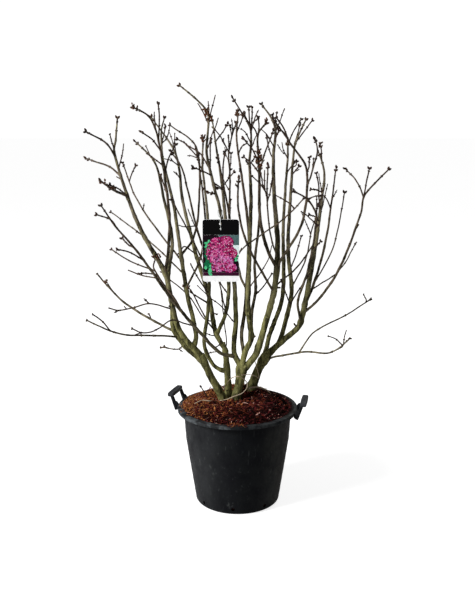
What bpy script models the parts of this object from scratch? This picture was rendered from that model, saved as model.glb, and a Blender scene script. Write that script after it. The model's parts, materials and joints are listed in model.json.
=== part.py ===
"""A leafless lilac shrub of four stems in a black nursery pot with two handles.

Metres, +Z up. The origin is the middle of the pot's flat underside, and the
front of the plant looks along -Y.
"""
import math
from collections import namedtuple

import bmesh
import bpy
import numpy as np
from mathutils import Matrix, Vector

# Gap kept between pieces that touch
GAP = 0.0003

# Pot
POT_HEIGHT = 0.377
WALL = 0.003
FOOT_RADIUS = 0.1605
FOOT_ROUND = 0.014
SHOULDER_HEIGHT = 0.250
SHOULDER_RADIUS = 0.1985
NECK_HEIGHT = 0.366
NECK_RADIUS = 0.2065
LIP_RADIUS = 0.230
LIP_DROP = 0.012
LIP_ROUND = 0.004
POT_SIDES = 40
DRAIN_HOLES = 8
DRAIN_RADIUS = 0.007
DRAIN_DEPTH = 0.028
DRAIN_HEIGHT = 0.023
DRAIN_FIRST_ANGLE = math.radians(-96)

# Bark mulch that fills the pot
SOIL_TOP = 0.395
SOIL_EDGE = 0.366
SOIL_FLAT_RADIUS = 0.125
SOIL_FALL_HALF_WAY = 0.4

# Handles, two bars that stand up outside the lip
HANDLE_ANGLES = {"pot_handle_right": math.radians(-9.5), "pot_handle_left": math.radians(162.5)}
HANDLE_FEET = 0.091
HANDLE_GRIP_HEIGHT = 0.411
HANDLE_LEAN = 0.021
HANDLE_LEAN_DROP = 0.010
HANDLE_LEG_RADIUS = 0.0075
HANDLE_GRIP_RADIUS = 0.0092
HANDLE_SWELL = 1.6
HANDLE_CORNER = 0.011
HANDLE_FOOT_DROP = 0.019

# Hanging label and the tie that holds it
LABEL_WIDTH = 0.129
LABEL_HEIGHT = 0.222
LABEL_THICKNESS = 0.001
LABEL_CORNER = 0.010
LABEL_CENTRE = Vector((-0.0585, -0.1500, 1.0050))
LABEL_HOLE_X = -0.060
LABEL_HOLE_DROP = 0.016
LABEL_HOLE_RADIUS = 0.0042
TIE_RADIUS = 0.0012
TIE_LENGTH = 0.030
TIE_CLEARANCE = 0.003
TIE_TURN_STEPS = 6

# The bends of a limb are given as they look from the front, in centimetres,
# against the upright plane through the pot's axis. An eye at this distance
# and height sees them so, and each bend lies on its line of sight, as far
# back as the limb's own depth there.
EYE_DISTANCE = 3.16
EYE_HEIGHT = 1.50
CM = 0.01

# Limb making
RING_SPACING = 0.088
BEND_WEIGHT = 0.13
FEWEST_RINGS = 4
MOST_RINGS = 17
STEM_EXTRA_RINGS = 2
STEM_RING_POWER = 1.6
PATH_STEPS = 120
FOOT_STEPS = 200
BELOW_GROUND = 0.03
TAPER_POWER = 1.6
FLARE = 0.30
FLARE_HEIGHT = 0.022
EIGHT_SIDED_FROM = 0.0148
OLIVE_BARK_FROM = 0.0148
FORK_DEPTH = 0.010
CURVE_DEPTH = 0.01

# name, parent (None for a stem that rises from the mulch), foot, bends to the
# tip, depth at the tip, further depth half-way, thickness at foot and tip
Limb = namedtuple("Limb", "name parent foot bends depth bow thick")
LIMBS = [
    Limb("stem_left", None, (-5.3, 40.3), [(-10.4, 50), (-13.9, 58)], -3, 0, (2.9, 2.4)),
    Limb("left_front_bough", "stem_left", (-13.8, 57.8),
         [(-21.5, 66.9), (-24.2, 76), (-27.2, 90), (-35.3, 105.3), (-40.4, 119), (-44.5, 134.2),
          (-43.7, 138.5), (-42.9, 146.5)], -16, 0, (2.1, 0.5)),
    Limb("left_back_bough", "stem_left", (-12.6, 54.8),
         [(-20.1, 61.6), (-24, 68), (-24.6, 77), (-25.7, 88), (-24.1, 102), (-27, 118),
          (-30, 130.5), (-37.2, 138.2)], 14, 3, (1.85, 0.5)),
    Limb("left_high_tip", "left_front_bough", (-44.5, 132.6),
         [(-47.5, 137.5), (-54.7, 141.4)], -24, 0, (0.66, 0.5)),
    Limb("left_middle_tip", "left_front_bough", (-42.6, 125.2),
         [(-46, 128.6), (-55, 131.9)], -4, 0, (0.66, 0.48)),
    Limb("left_low_tip", "left_front_bough", (-40.2, 118),
         [(-44.8, 120.3), (-50, 123.8)], -27, 0, (0.95, 0.6)),
    Limb("left_front_shoot", "left_front_bough", (-27.1, 89.6),
         [(-25.6, 98), (-25, 112), (-28.3, 138), (-31.5, 146.3), (-37.4, 149.9)], -32, 0, (1.08, 0.5)),
    Limb("left_side_shoot_high", "left_back_bough", (-23.8, 67.2),
         [(-28, 69.3), (-42.4, 78.4), (-52.4, 89.5)], 16, 0, (0.95, 0.55)),
    Limb("left_side_shoot_low", "left_back_bough", (-22.7, 64.6),
         [(-26, 65.4), (-42, 65.9), (-49, 67.9), (-57, 71.7)], -20, -3, (0.76, 0.5)),
    Limb("left_inner_bough", "left_front_bough", (-15.6, 61.4),
         [(-15.6, 66), (-18.6, 80.8), (-20.7, 95), (-23.1, 113.6), (-26.8, 131), (-27.4, 140.5),
          (-26, 146.4)], 12, 4, (1.75, 0.5)),
    Limb("left_cross_shoot", "left_inner_bough", (-20.7, 94),
         [(-30.1, 106.6), (-37.1, 117.7), (-41.6, 130.4)], 38, 1, (0.72, 0.5)),
    Limb("left_cross_twig", "left_inner_bough", (-20.1, 89.4),
         [(-33.3, 102.3), (-46.5, 112.5)], 42, 0, (0.62, 0.45)),
    Limb("inner_back_shoot", "left_inner_bough", (-20.8, 96.2),
         [(-16.5, 102.3), (-14.2, 113), (-14.7, 135.4), (-24.4, 143.8)], 40, 0, (0.86, 0.5)),
    Limb("inner_front_shoot", "left_inner_bough", (-18.9, 83.6),
         [(-13.5, 96), (-11.9, 110), (-14.3, 133)], -22, 0, (0.8, 0.5)),

    Limb("stem_back", None, (-3.4, 41.5), [(-3.9, 51), (-5, 63)], 9, 0, (2.6, 2.1)),
    Limb("back_cross_bough", "stem_back", (-4, 51.6),
         [(-6.6, 52.2), (-9.6, 54.6), (-12.6, 62), (-11, 76), (-10.5, 92), (-10.9, 110),
          (-12.7, 130), (-12.3, 139.3)], 15, 0, (1.55, 0.55)),
    Limb("back_left_bough", "stem_back", (-4.9, 60),
         [(-8.4, 67.5), (-10.5, 79.7), (-15.5, 97.3), (-20.2, 117.6), (-22.2, 133), (-31, 146.7)],
         29, 4, (1.85, 0.45)),
    Limb("label_bough", "back_left_bough", (-7.6, 65.8),
         [(-4.4, 74.5), (-3.3, 85), (-6, 110.9), (-11, 132.8), (-10.4, 147), (-14, 152),
          (-20.8, 157.6)], -10, -14, (1.5, 0.5)),
    Limb("inner_left_twig", "back_cross_bough", (-10.5, 88.5),
         [(-16.6, 102.2), (-24.1, 117.2)], -8, 0, (0.62, 0.45)),
    Limb("inner_left_shoot", "back_cross_bough", (-10.5, 93),
         [(-15, 106.5), (-20, 128), (-24.4, 134.6)], 2, 0, (0.86, 0.5)),

    Limb("stem_centre", None, (-0.5, 40.5), [(1, 48), (1.6, 53.6)], 2, 0, (3.4, 3.1)),
    Limb("centre_left_bough", "stem_centre", (1.4, 53.2),
         [(-1.3, 59), (-0.7, 71.4), (-1.2, 86), (-4.4, 110), (-5.7, 123), (-9.3, 146.7)],
         22, 0, (1.95, 0.45)),
    Limb("long_left_bough", "centre_left_bough", (-0.9, 57.6),
         [(-6.5, 58.8), (-12.7, 65.1), (-23.8, 78.5), (-35.3, 95.4), (-44.9, 107.2), (-50, 115)],
         -34, 0, (1.35, 0.45)),
    Limb("centre_bough", "stem_centre", (1.4, 52.2),
         [(3, 59.5), (5.2, 64.5), (4, 76), (4.3, 95), (4.9, 116), (4.4, 129.7), (4.8, 141),
          (2.1, 147.8)], -6, 0, (2.1, 0.5)),
    Limb("centre_twin_shoot", "centre_bough", (2.6, 58.4),
         [(1.5, 65.1), (2.9, 77), (4.2, 103), (3, 115), (-0.2, 138), (0.1, 148.7)], 34, 4, (1.45, 0.55)),
    Limb("centre_hidden_shoot", "centre_bough", (3.9, 82.5),
         [(0.8, 89.4), (-2.8, 110), (-2.7, 125.3), (-3.1, 134.4), (-0.5, 144.6)], 40, 6, (0.92, 0.5)),
    Limb("centre_front_shoot", "centre_left_bough", (-2.4, 96),
         [(-3, 110), (-5, 122), (-7.2, 132)], -24, 0, (0.8, 0.5)),
    Limb("long_cross_twig", "centre_left_bough", (-1.9, 92.5),
         [(0.9, 97.7), (5.4, 101.6), (17.2, 110.1), (24.4, 117.4)], -33, -4, (0.56, 0.45)),
    Limb("knuckle_shoot", "centre_bough", (5.1, 65),
         [(5.4, 74), (6.8, 83), (6.4, 93), (8, 110), (8.3, 128), (13, 142)], 42, 0, (1.2, 0.5)),
    Limb("right_centre_bough", "stem_centre", (1.2, 51.4),
         [(4.4, 54.6), (7.3, 59), (10.4, 69.9), (13.9, 84.2), (14.8, 100), (13.3, 119.1),
          (12.9, 132), (13.4, 143), (8.4, 151.2)], 8, -5, (2.55, 0.5)),
    Limb("fan_left_bough", "right_centre_bough", (14.2, 91.5),
         [(11.5, 97.3), (8.4, 109), (7.9, 127.5), (7.4, 140.3), (10.5, 144.6)], -14, 0, (1.28, 0.55)),
    Limb("fan_front_twig", "right_centre_bough", (14.5, 95),
         [(12.1, 104.3), (10.8, 117.6), (11.1, 129.5)], -38, 0, (0.6, 0.45)),
    Limb("fan_right_bough", "right_centre_bough", (14.2, 90),
         [(16, 94.4), (23.6, 108), (25.1, 127.5), (19.1, 137.1), (12.5, 146)], -26, 0, (1.02, 0.5)),
    Limb("fan_right_twig", "fan_right_bough", (24.9, 121.5),
         [(27.5, 129), (28.8, 134.6), (27.9, 138.7)], -40, 0, (0.6, 0.45)),
    Limb("front_hanging_shoot", "right_centre_bough", (13.4, 82.4),
         [(6.3, 95), (1.9, 105.4), (0.1, 116), (0.5, 125)], -32, 0, (0.9, 0.55)),
    Limb("right_inner_twig", "right_centre_bough", (13.8, 84.6),
         [(22, 91.8), (28.3, 100.8)], 28, 0, (0.68, 0.5)),

    Limb("stem_right", None, (4.6, 43.4), [(8.4, 53.2), (11.2, 58.2)], 6, 0, (3.6, 3.0)),
    Limb("right_outer_bough", "stem_right", (11, 57.8),
         [(16.8, 63.3), (23.1, 69.4), (25.3, 78.5), (28.1, 95.4), (30.8, 117.6), (31.5, 126.9),
          (29, 134.7)], -4, 0, (2.3, 0.5)),
    Limb("right_middle_bough", "stem_right", (10.4, 56.6),
         [(15.3, 62), (19.2, 76), (20.2, 84.2), (18.7, 98), (19.4, 120), (20.7, 136.4),
          (24.6, 145.8)], 20, 3, (1.85, 0.55)),
    Limb("right_inner_bough", "stem_right", (9.8, 55.8),
         [(12.2, 66), (16.4, 78.5), (17.2, 88), (16.8, 108), (18, 138.2), (13, 144.4)],
         38, 2, (1.8, 0.45)),
    Limb("right_front_shoot", "right_outer_bough", (23.4, 71),
         [(22.6, 79), (26.1, 90.3), (28.9, 110), (26, 116.5), (20.2, 120.2)], -32, 0, (0.98, 0.5)),
    Limb("right_back_shoot", "right_outer_bough", (25.3, 77.8),
         [(28.3, 85), (32.6, 102.1), (35.8, 128.8)], 27, 0, (1.05, 0.5)),
    Limb("right_slim_shoot", "right_back_shoot", (28.6, 85.4),
         [(34.8, 97.7), (37.6, 110), (39, 119.8)], 4, 0, (0.56, 0.45)),
    Limb("right_back_twig", "right_back_shoot", (27.8, 83.4),
         [(31.4, 85.8), (37, 89.8), (40.8, 95.2), (43.6, 101)], 44, 0, (0.56, 0.45)),
    Limb("right_far_bough", "right_outer_bough", (24.5, 74.6),
         [(28, 77.2), (33, 83), (38.5, 92.8), (45.2, 112), (46.4, 118.6), (54.9, 128.1)],
         -12, -4, (1.0, 0.5)),
    Limb("right_far_tip", "right_far_bough", (46.2, 117.6),
         [(43.4, 123.4), (38.8, 128.3)], 6, 0, (0.55, 0.48)),
    Limb("right_thin_shoot", "right_middle_bough", (20.2, 84),
         [(25.1, 94.3), (27.2, 105), (29, 111.5)], 44, 0, (0.6, 0.5)),
    Limb("low_right_shoot", "stem_right", (9.6, 55.6),
         [(11.9, 56.5), (14.9, 57.4), (26, 59.2), (35.5, 59), (42.8, 64.6)], -24, 0, (0.8, 0.5)),
    Limb("low_right_twig", "low_right_shoot", (23.4, 59.1),
         [(28.9, 66.9), (40.9, 73.7), (50.2, 79.8)], 8, 0, (0.62, 0.5)),
]

# Limbs that leave a stem beside another limb, and lie against it there
BESIDE = {
    "centre_bough": ["centre_left_bough"],
    "right_centre_bough": ["centre_left_bough", "centre_bough"],
    "right_middle_bough": ["right_outer_bough"],
    "right_inner_bough": ["right_middle_bough", "right_outer_bough"],
    "fan_right_bough": ["fan_left_bough"],
    "low_right_shoot": ["right_inner_bough", "right_middle_bough"],
}


def material(name, colour, roughness, metallic=0.0):
    """Plain material of one colour."""
    made = bpy.data.materials.new(name)
    made.use_nodes = True
    shader = made.node_tree.nodes["Principled BSDF"]
    shader.inputs["Base Color"].default_value = (*colour, 1.0)
    shader.inputs["Roughness"].default_value = roughness
    shader.inputs["Metallic"].default_value = metallic
    made.diffuse_color = (*colour, 1.0)
    return made


def add_object(name, mesh, collection, mat=None):
    """Link a mesh to a collection as a named object."""
    obj = bpy.data.objects.new(name, mesh)
    collection.objects.link(obj)
    if mat:
        mesh.materials.clear()
        mesh.materials.append(mat)
    return obj


def shade_round(obj):
    """Smooth shading with crisp edges."""
    obj.data.shade_smooth()
    obj.data.set_sharp_from_angle(angle=math.radians(45))


def mark_as_cutter(obj):
    """Keep an object out of the model."""
    obj.hide_render = True
    obj.display_type = "WIRE"


def cut(obj, cutter):
    """Take the cutter's shape away from the object."""
    modifier = obj.modifiers.new("cut_" + cutter.name, "BOOLEAN")
    modifier.operation = "DIFFERENCE"
    modifier.solver = "EXACT"
    modifier.object = cutter


def arc(centre_x, centre_z, radius, start, stop, steps):
    """Points of an arc in the XZ plane, its angles in degrees."""
    angles = [math.radians(start + (stop - start) * i / steps) for i in range(steps + 1)]
    return [(centre_x + radius * math.cos(a), centre_z + radius * math.sin(a)) for a in angles]


def turned(name, profile, sides, collection, mat):
    """Turn a profile of (radius, height) points about the Z axis."""
    mesh = bpy.data.meshes.new(name)
    points = [(radius, 0.0, height) for radius, height in profile]
    edges = [(i, i + 1) for i in range(len(points) - 1)]
    mesh.from_pydata(points, edges, [])
    obj = add_object(name, mesh, collection, mat)
    screw = obj.modifiers.new("turn", "SCREW")
    screw.axis = "Z"
    screw.angle = math.tau
    screw.steps = sides
    screw.render_steps = sides
    screw.use_merge_vertices = True
    screw.merge_threshold = 0.00001
    screw.use_smooth_shade = True
    return obj


def pot_radius(height):
    """Outer radius of the pot's wall at a height."""
    heights = [0.0, SHOULDER_HEIGHT, NECK_HEIGHT]
    radii = [FOOT_RADIUS, SHOULDER_RADIUS, NECK_RADIUS]
    return float(np.interp(height, heights, radii))


def pot_profile():
    """Section of the pot, from the middle of its floor inside to the middle of its underside."""
    inner_top = NECK_RADIUS - WALL
    lip_under = POT_HEIGHT - WALL
    inside = [
        (0.0, WALL),
        (pot_radius(WALL) - WALL - FOOT_ROUND, WALL),
        (pot_radius(FOOT_ROUND) - WALL, FOOT_ROUND),
        (SHOULDER_RADIUS - WALL, SHOULDER_HEIGHT),
        (inner_top, NECK_HEIGHT),
        (inner_top + WALL, POT_HEIGHT),
    ]
    lip = arc(LIP_RADIUS - LIP_ROUND, POT_HEIGHT - LIP_ROUND, LIP_ROUND, 90, 0, 3)
    under_lip = [
        (LIP_RADIUS, POT_HEIGHT - LIP_DROP),
        (LIP_RADIUS - WALL, POT_HEIGHT - LIP_DROP),
        (LIP_RADIUS - WALL, lip_under),
        (NECK_RADIUS + WALL, lip_under),
        (NECK_RADIUS, NECK_HEIGHT),
        (SHOULDER_RADIUS, SHOULDER_HEIGHT),
    ]
    foot_x = pot_radius(FOOT_ROUND) - FOOT_ROUND
    foot = arc(foot_x, FOOT_ROUND, FOOT_ROUND, 0, -90, 4)
    return inside + lip + under_lip + foot + [(0.0, 0.0)]


def make_pot(collection, cutters, mat):
    """Pot with its lip, and drain holes round its foot."""
    pot = turned("pot", pot_profile(), POT_SIDES, collection, mat)
    shape = bmesh.new()
    for i in range(DRAIN_HOLES):
        angle = DRAIN_FIRST_ANGLE + math.tau * i / DRAIN_HOLES
        wall = Matrix.Translation((pot_radius(DRAIN_HEIGHT), 0, DRAIN_HEIGHT))
        place = Matrix.Rotation(angle, 4, "Z") @ wall
        bmesh.ops.create_cone(shape, cap_ends=True, segments=8, radius1=DRAIN_RADIUS, radius2=DRAIN_RADIUS,
                              depth=DRAIN_DEPTH, matrix=place @ Matrix.Rotation(math.pi / 2, 4, "Y"))
    mesh = bpy.data.meshes.new("drain_holes")
    shape.to_mesh(mesh)
    shape.free()
    drains = add_object("drain_holes", mesh, cutters)
    mark_as_cutter(drains)
    cut(pot, drains)
    return pot


def make_soil(collection, mat):
    """Mulch that fills the pot and heaps up to the stems' feet."""
    side = WALL + GAP
    floor = WALL + GAP
    half_way = (SOIL_FLAT_RADIUS + NECK_RADIUS - side) / 2
    profile = [
        (0.0, SOIL_TOP),
        (SOIL_FLAT_RADIUS, SOIL_TOP),
        (half_way, SOIL_TOP - SOIL_FALL_HALF_WAY * (SOIL_TOP - SOIL_EDGE)),
        (NECK_RADIUS - side, SOIL_EDGE),
        (SHOULDER_RADIUS - side, SHOULDER_HEIGHT),
        (pot_radius(FOOT_ROUND) - side, FOOT_ROUND + GAP),
        (pot_radius(WALL) - side - FOOT_ROUND, floor),
        (0.0, floor),
    ]
    return turned("mulch", profile, POT_SIDES, collection, mat)


def curve_mesh(name, points, radii, resolution, cyclic=False):
    """Mesh of a round bar along the points, with its caps welded on."""
    curve = bpy.data.curves.new(name + "_curve", "CURVE")
    curve.dimensions = "3D"
    curve.bevel_depth = CURVE_DEPTH
    curve.bevel_resolution = resolution
    curve.use_fill_caps = True
    spline = curve.splines.new("POLY")
    spline.points.add(len(points) - 1)
    for knot, point, radius in zip(spline.points, points, radii):
        knot.co = (*point, 1.0)
        knot.radius = radius / CURVE_DEPTH
    spline.use_cyclic_u = cyclic
    obj = bpy.data.objects.new(name + "_curve", curve)
    bpy.context.scene.collection.objects.link(obj)
    evaluated = obj.evaluated_get(bpy.context.evaluated_depsgraph_get())
    mesh = bpy.data.meshes.new_from_object(evaluated)
    mesh.name = name
    bpy.data.objects.remove(obj)
    bpy.data.curves.remove(curve)
    weld(mesh)
    return mesh


def weld(mesh):
    """Join loose caps to their tube, with the faces pointing out."""
    shape = bmesh.new()
    shape.from_mesh(mesh)
    bmesh.ops.remove_doubles(shape, verts=shape.verts, dist=0.00001)
    bmesh.ops.recalc_face_normals(shape, faces=shape.faces)
    shape.to_mesh(mesh)
    shape.free()


def handle_path(angle):
    """Middle line of a handle: up one leg, along the grip and down the other leg."""
    half = HANDLE_FEET / 2
    foot_radius = LIP_RADIUS + GAP + HANDLE_LEG_RADIUS
    foot_x = math.sqrt(foot_radius ** 2 - half ** 2)
    foot_z = POT_HEIGHT - HANDLE_FOOT_DROP
    rise_z = POT_HEIGHT - HANDLE_LEAN_DROP
    top_z = HANDLE_GRIP_HEIGHT
    lean = HANDLE_LEAN / (top_z - rise_z)
    knee_z = top_z - HANDLE_CORNER
    knee = Vector((foot_x + lean * (knee_z - rise_z), half, knee_z))
    top = Vector((foot_x + HANDLE_LEAN, half, top_z))
    turn = Vector((foot_x + HANDLE_LEAN, half - HANDLE_CORNER, top_z))
    leg = [Vector((foot_x, half, foot_z)), Vector((foot_x, half, rise_z)), knee]
    bend = [knee * (1 - t) ** 2 + top * 2 * t * (1 - t) + turn * t * t for t in (0.25, 0.5, 0.75, 1.0)]
    one_side = leg + bend
    other_side = [Vector((p.x, -p.y, p.z)) for p in reversed(one_side)]
    turn_round = Matrix.Rotation(angle, 4, "Z")
    return [turn_round @ p for p in one_side + [Vector((turn.x, 0, turn.z))] + other_side]


def make_handle(name, angle, collection, mat):
    """Handle with slim legs and a fuller grip."""
    path = handle_path(angle)
    middle = len(path) // 2
    radii = []
    for i in range(len(path)):
        share = max(0.0, 1.0 - abs(i - middle) / (middle - 2))
        swell = min(1.0, HANDLE_SWELL * share)
        radii.append(HANDLE_LEG_RADIUS + (HANDLE_GRIP_RADIUS - HANDLE_LEG_RADIUS) * swell)
    obj = add_object(name, curve_mesh(name, path, radii, 2), collection, mat)
    shade_round(obj)
    return obj


def rounded_outline(width, height, corner, steps=4):
    """Outline of a plate with round corners, anticlockwise."""
    outline = []
    for k, (sx, sy) in enumerate([(1, 1), (-1, 1), (-1, -1), (1, -1)]):
        centre_x = sx * (width / 2 - corner)
        centre_y = sy * (height / 2 - corner)
        outline += arc(centre_x, centre_y, corner, 90 * k, 90 * k + 90, steps)
    return outline


def make_label(collection, mat):
    """Flat label with round corners and a hole for its tie."""
    curve = bpy.data.curves.new("label_curve", "CURVE")
    curve.dimensions = "2D"
    curve.fill_mode = "BOTH"
    curve.extrude = LABEL_THICKNESS / 2
    hole_x = LABEL_HOLE_X - LABEL_CENTRE.x
    hole_y = LABEL_HEIGHT / 2 - LABEL_HOLE_DROP
    for outline in (rounded_outline(LABEL_WIDTH, LABEL_HEIGHT, LABEL_CORNER),
                    arc(hole_x, hole_y, LABEL_HOLE_RADIUS, 0, 315, 7)):
        spline = curve.splines.new("POLY")
        spline.points.add(len(outline) - 1)
        for knot, (x, y) in zip(spline.points, outline):
            knot.co = (x, y, 0.0, 1.0)
        spline.use_cyclic_u = True
    obj = bpy.data.objects.new("label_curve", curve)
    obj.matrix_world = Matrix.Translation(LABEL_CENTRE) @ Matrix.Rotation(math.pi / 2, 4, "X")
    bpy.context.scene.collection.objects.link(obj)
    place = obj.matrix_world.copy()
    mesh = bpy.data.meshes.new_from_object(obj.evaluated_get(bpy.context.evaluated_depsgraph_get()))
    mesh.name = "label"
    bpy.data.objects.remove(obj)
    bpy.data.curves.remove(curve)
    weld(mesh)
    label = add_object("label", mesh, collection, mat)
    label.matrix_world = place
    return label


def tie_path(hold, reach):
    """Loop from the front of the label's hole, round the back of the bough, to the hole's back."""
    hole_z = LABEL_CENTRE.z + LABEL_HEIGHT / 2 - LABEL_HOLE_DROP
    top_z = LABEL_CENTRE.z + LABEL_HEIGHT / 2 + TIE_CLEARANCE
    off = LABEL_THICKNESS / 2 + TIE_RADIUS + GAP
    front, back = LABEL_CENTRE.y - off, LABEL_CENTRE.y + off
    heights = [hole_z + TIE_RADIUS, (hole_z + top_z) / 2, top_z]
    up_front = [Vector((LABEL_HOLE_X, front, z)) for z in heights]
    down_back = [Vector((LABEL_HOLE_X, back, z)) for z in reversed(heights)]
    left = hold + Vector((-reach, -reach, -2 * reach))
    right = hold + Vector((reach, -reach, -2 * reach))
    turn = [math.radians(180 - 180 * i / TIE_TURN_STEPS) for i in range(TIE_TURN_STEPS + 1)]
    round_bough = [hold + Vector((reach * math.cos(a), reach * math.sin(a), 0)) for a in turn]
    through = [Vector((LABEL_HOLE_X, LABEL_CENTRE.y, hole_z - TIE_RADIUS))]
    return up_front + [left] + round_bough + [right] + down_back + through


def make_tie(bough, bough_radii, collection, mat):
    """Tie that goes round the bough above the label and through its hole."""
    grip_z = LABEL_CENTRE.z + LABEL_HEIGHT / 2 + TIE_LENGTH
    above = next(i for i in range(len(bough)) if bough[i].z > grip_z)
    share = (grip_z - bough[above - 1].z) / (bough[above].z - bough[above - 1].z)
    hold = bough[above - 1].lerp(bough[above], share)
    reach = bough_radii[above - 1] + TIE_RADIUS + 2 * GAP
    points = tie_path(hold, reach)
    mesh = curve_mesh("label_tie", points, [TIE_RADIUS] * len(points), 1, True)
    tie = add_object("label_tie", mesh, collection, mat)
    shade_round(tie)


def carried(x, z, depth):
    """Place at a depth that the eye sees at x, z against the plane of the pot's axis."""
    scale = (EYE_DISTANCE + depth) / EYE_DISTANCE
    return Vector((x * scale, depth, EYE_HEIGHT + (z - EYE_HEIGHT) * scale))


def seen(point):
    """Where the eye sees a place, against the plane of the pot's axis."""
    scale = EYE_DISTANCE / (EYE_DISTANCE + point.y)
    return (point.x * scale, EYE_HEIGHT + (point.z - EYE_HEIGHT) * scale)


def ground_depth(z):
    """Depth at which the line of sight through height z meets the top of the mulch."""
    return EYE_DISTANCE * ((EYE_HEIGHT - SOIL_TOP) / (EYE_HEIGHT - z) - 1)


def share_of_slope(span, next_span):
    """How much of the way past a knot its slope covers, less on a short span beside a long one."""
    lead = min(1.0, span / max(next_span, 0.001))
    return lead / (1 + lead)


def spline_point(knots, position):
    """Point of a smooth curve through all the knots, at a position counted in knots."""
    i = min(int(position), len(knots) - 2)
    t = position - i
    before = knots[i - 1] if i > 0 else knots[i] * 2 - knots[i + 1]
    after = knots[i + 2] if i + 2 < len(knots) else knots[i + 1] * 2 - knots[i]
    here, there = knots[i], knots[i + 1]
    span = (there - here).length
    slope_here = (there - before) * share_of_slope(span, (here - before).length)
    slope_there = (after - here) * share_of_slope(span, (after - there).length)
    return (here * (2 * t ** 3 - 3 * t ** 2 + 1) + slope_here * (t ** 3 - 2 * t ** 2 + t)
            + there * (3 * t ** 2 - 2 * t ** 3) + slope_there * (t ** 3 - t ** 2))


def spaced(points, shares):
    """Points at the given shares of a path's length."""
    steps = [(b - a).length for a, b in zip(points, points[1:])]
    along = np.concatenate([[0.0], np.cumsum(steps)])
    columns = [np.interp(np.array(shares) * along[-1], along, [p[k] for p in points]) for k in range(3)]
    return [Vector(row) for row in zip(*columns)], float(along[-1])


def foot_on(parent_path, foot):
    """Place on the middle line of the parent that the eye sees nearest to the foot."""
    dense, length = spaced(parent_path, np.linspace(0, 1, FOOT_STEPS))
    reach = [math.dist(seen(p), foot) for p in dense]
    nearest = min(range(len(dense)), key=lambda i: reach[i])
    last = int((1 - FORK_DEPTH / length) * (len(dense) - 1))
    return dense[min(nearest, last)]


def ring_shares(points, extra, power):
    """Shares of a path's length at which its rings stand, closer together where it bends."""
    steps = [b - a for a, b in zip(points, points[1:])]
    turns = [0.0] + [a.angle(b) for a, b in zip(steps, steps[1:])]
    along = np.concatenate([[0.0], np.cumsum([step.length for step in steps])])
    costs = [step.length + BEND_WEIGHT * turn for step, turn in zip(steps, turns)]
    effort = np.concatenate([[0.0], np.cumsum(costs)])
    rings = max(FEWEST_RINGS, min(MOST_RINGS, round(effort[-1] / RING_SPACING) + 1)) + extra
    places = [effort[-1] * (i / (rings - 1)) ** power for i in range(rings)]
    return list(np.interp(places, effort, along) / along[-1])


def limb_path(limb, parents):
    """Middle line and radii of a limb, from its foot to its tip."""
    foot = (limb.foot[0] * CM, limb.foot[1] * CM)
    bends = [(x * CM, z * CM) for x, z in limb.bends]
    if limb.parent:
        start = foot_on(parents[limb.parent][0], foot)
    else:
        start = carried(*foot, ground_depth(foot[1]))
    flat = [seen(start)] + bends
    steps = [math.dist(a, b) for a, b in zip(flat, flat[1:])]
    knots = [start]
    for i, bend in enumerate(bends):
        share = sum(steps[:i + 1]) / sum(steps)
        depth = start.y + (limb.depth * CM - start.y) * share + 4 * limb.bow * CM * share * (1 - share)
        knots.append(carried(*bend, depth))
    smooth = [spline_point(knots, (len(knots) - 1) * i / PATH_STEPS) for i in range(PATH_STEPS + 1)]
    extra, power = (0, 1.0) if limb.parent else (STEM_EXTRA_RINGS, STEM_RING_POWER)
    shares = ring_shares(smooth, extra, power)
    path = spaced(smooth, shares)[0]
    thick, thin = (t * CM / 2 for t in limb.thick)
    radii = [thick + (thin - thick) * share ** TAPER_POWER for share in shares]
    if not limb.parent:
        radii = [r * (1 + FLARE * math.exp((path[0].z - p.z) / FLARE_HEIGHT)) for r, p in zip(radii, path)]
        down = path[0] - path[1]
        path.insert(0, path[0] + down.normalized() * BELOW_GROUND)
        radii.insert(0, radii[0])
    return path, radii


def lengthened(path, by):
    """The same path, a little longer at both ends."""
    longer = list(path)
    longer[0] = path[0] + (path[0] - path[1]).normalized() * by
    longer[-1] = path[-1] + (path[-1] - path[-2]).normalized() * by
    return longer


def limb_sides(limb):
    """Setting of the curve's bevel: 8 sides on a stout limb and 6 on a slender one."""
    return 2 if limb.thick[0] * CM >= EIGHT_SIDED_FROM else 1


def cut_at_ground(mesh):
    """Cut a stem flat where it meets the mulch."""
    shape = bmesh.new()
    shape.from_mesh(mesh)
    everything = shape.verts[:] + shape.edges[:] + shape.faces[:]
    bmesh.ops.bisect_plane(shape, geom=everything, plane_co=(0, 0, SOIL_TOP + GAP), plane_no=(0, 0, 1),
                           clear_inner=True)
    rim = [edge for edge in shape.edges if edge.is_boundary]
    bmesh.ops.holes_fill(shape, edges=rim)
    bmesh.ops.recalc_face_normals(shape, faces=shape.faces)
    shape.to_mesh(mesh)
    shape.free()


def make_limbs(collection, cutters, materials):
    """All stems and boughs, each seated on the one that it grows from."""
    paths = {}
    for limb in LIMBS:
        paths[limb.name] = limb_path(limb, paths)
    seats = {limb.parent for limb in LIMBS if limb.parent}
    for neighbours in BESIDE.values():
        seats.update(neighbours)
    by_name = {limb.name: limb for limb in LIMBS}
    moulds = {}
    for name in sorted(seats):
        path, radii = paths[name]
        grown = [radius + GAP for radius in radii]
        mesh = curve_mesh(name + "_seat", lengthened(path, GAP), grown, limb_sides(by_name[name]))
        moulds[name] = add_object(name + "_seat", mesh, cutters)
        mark_as_cutter(moulds[name])
    for limb in LIMBS:
        path, radii = paths[limb.name]
        mesh = curve_mesh(limb.name, path, radii, limb_sides(limb))
        if not limb.parent:
            cut_at_ground(mesh)
        bark = materials["olive_bark"] if limb.thick[0] * CM >= OLIVE_BARK_FROM else materials["brown_bark"]
        obj = add_object(limb.name, mesh, collection, bark)
        shade_round(obj)
        for name in ([limb.parent] if limb.parent else []) + BESIDE.get(limb.name, []):
            cut(obj, moulds[name])
    return paths


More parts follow.
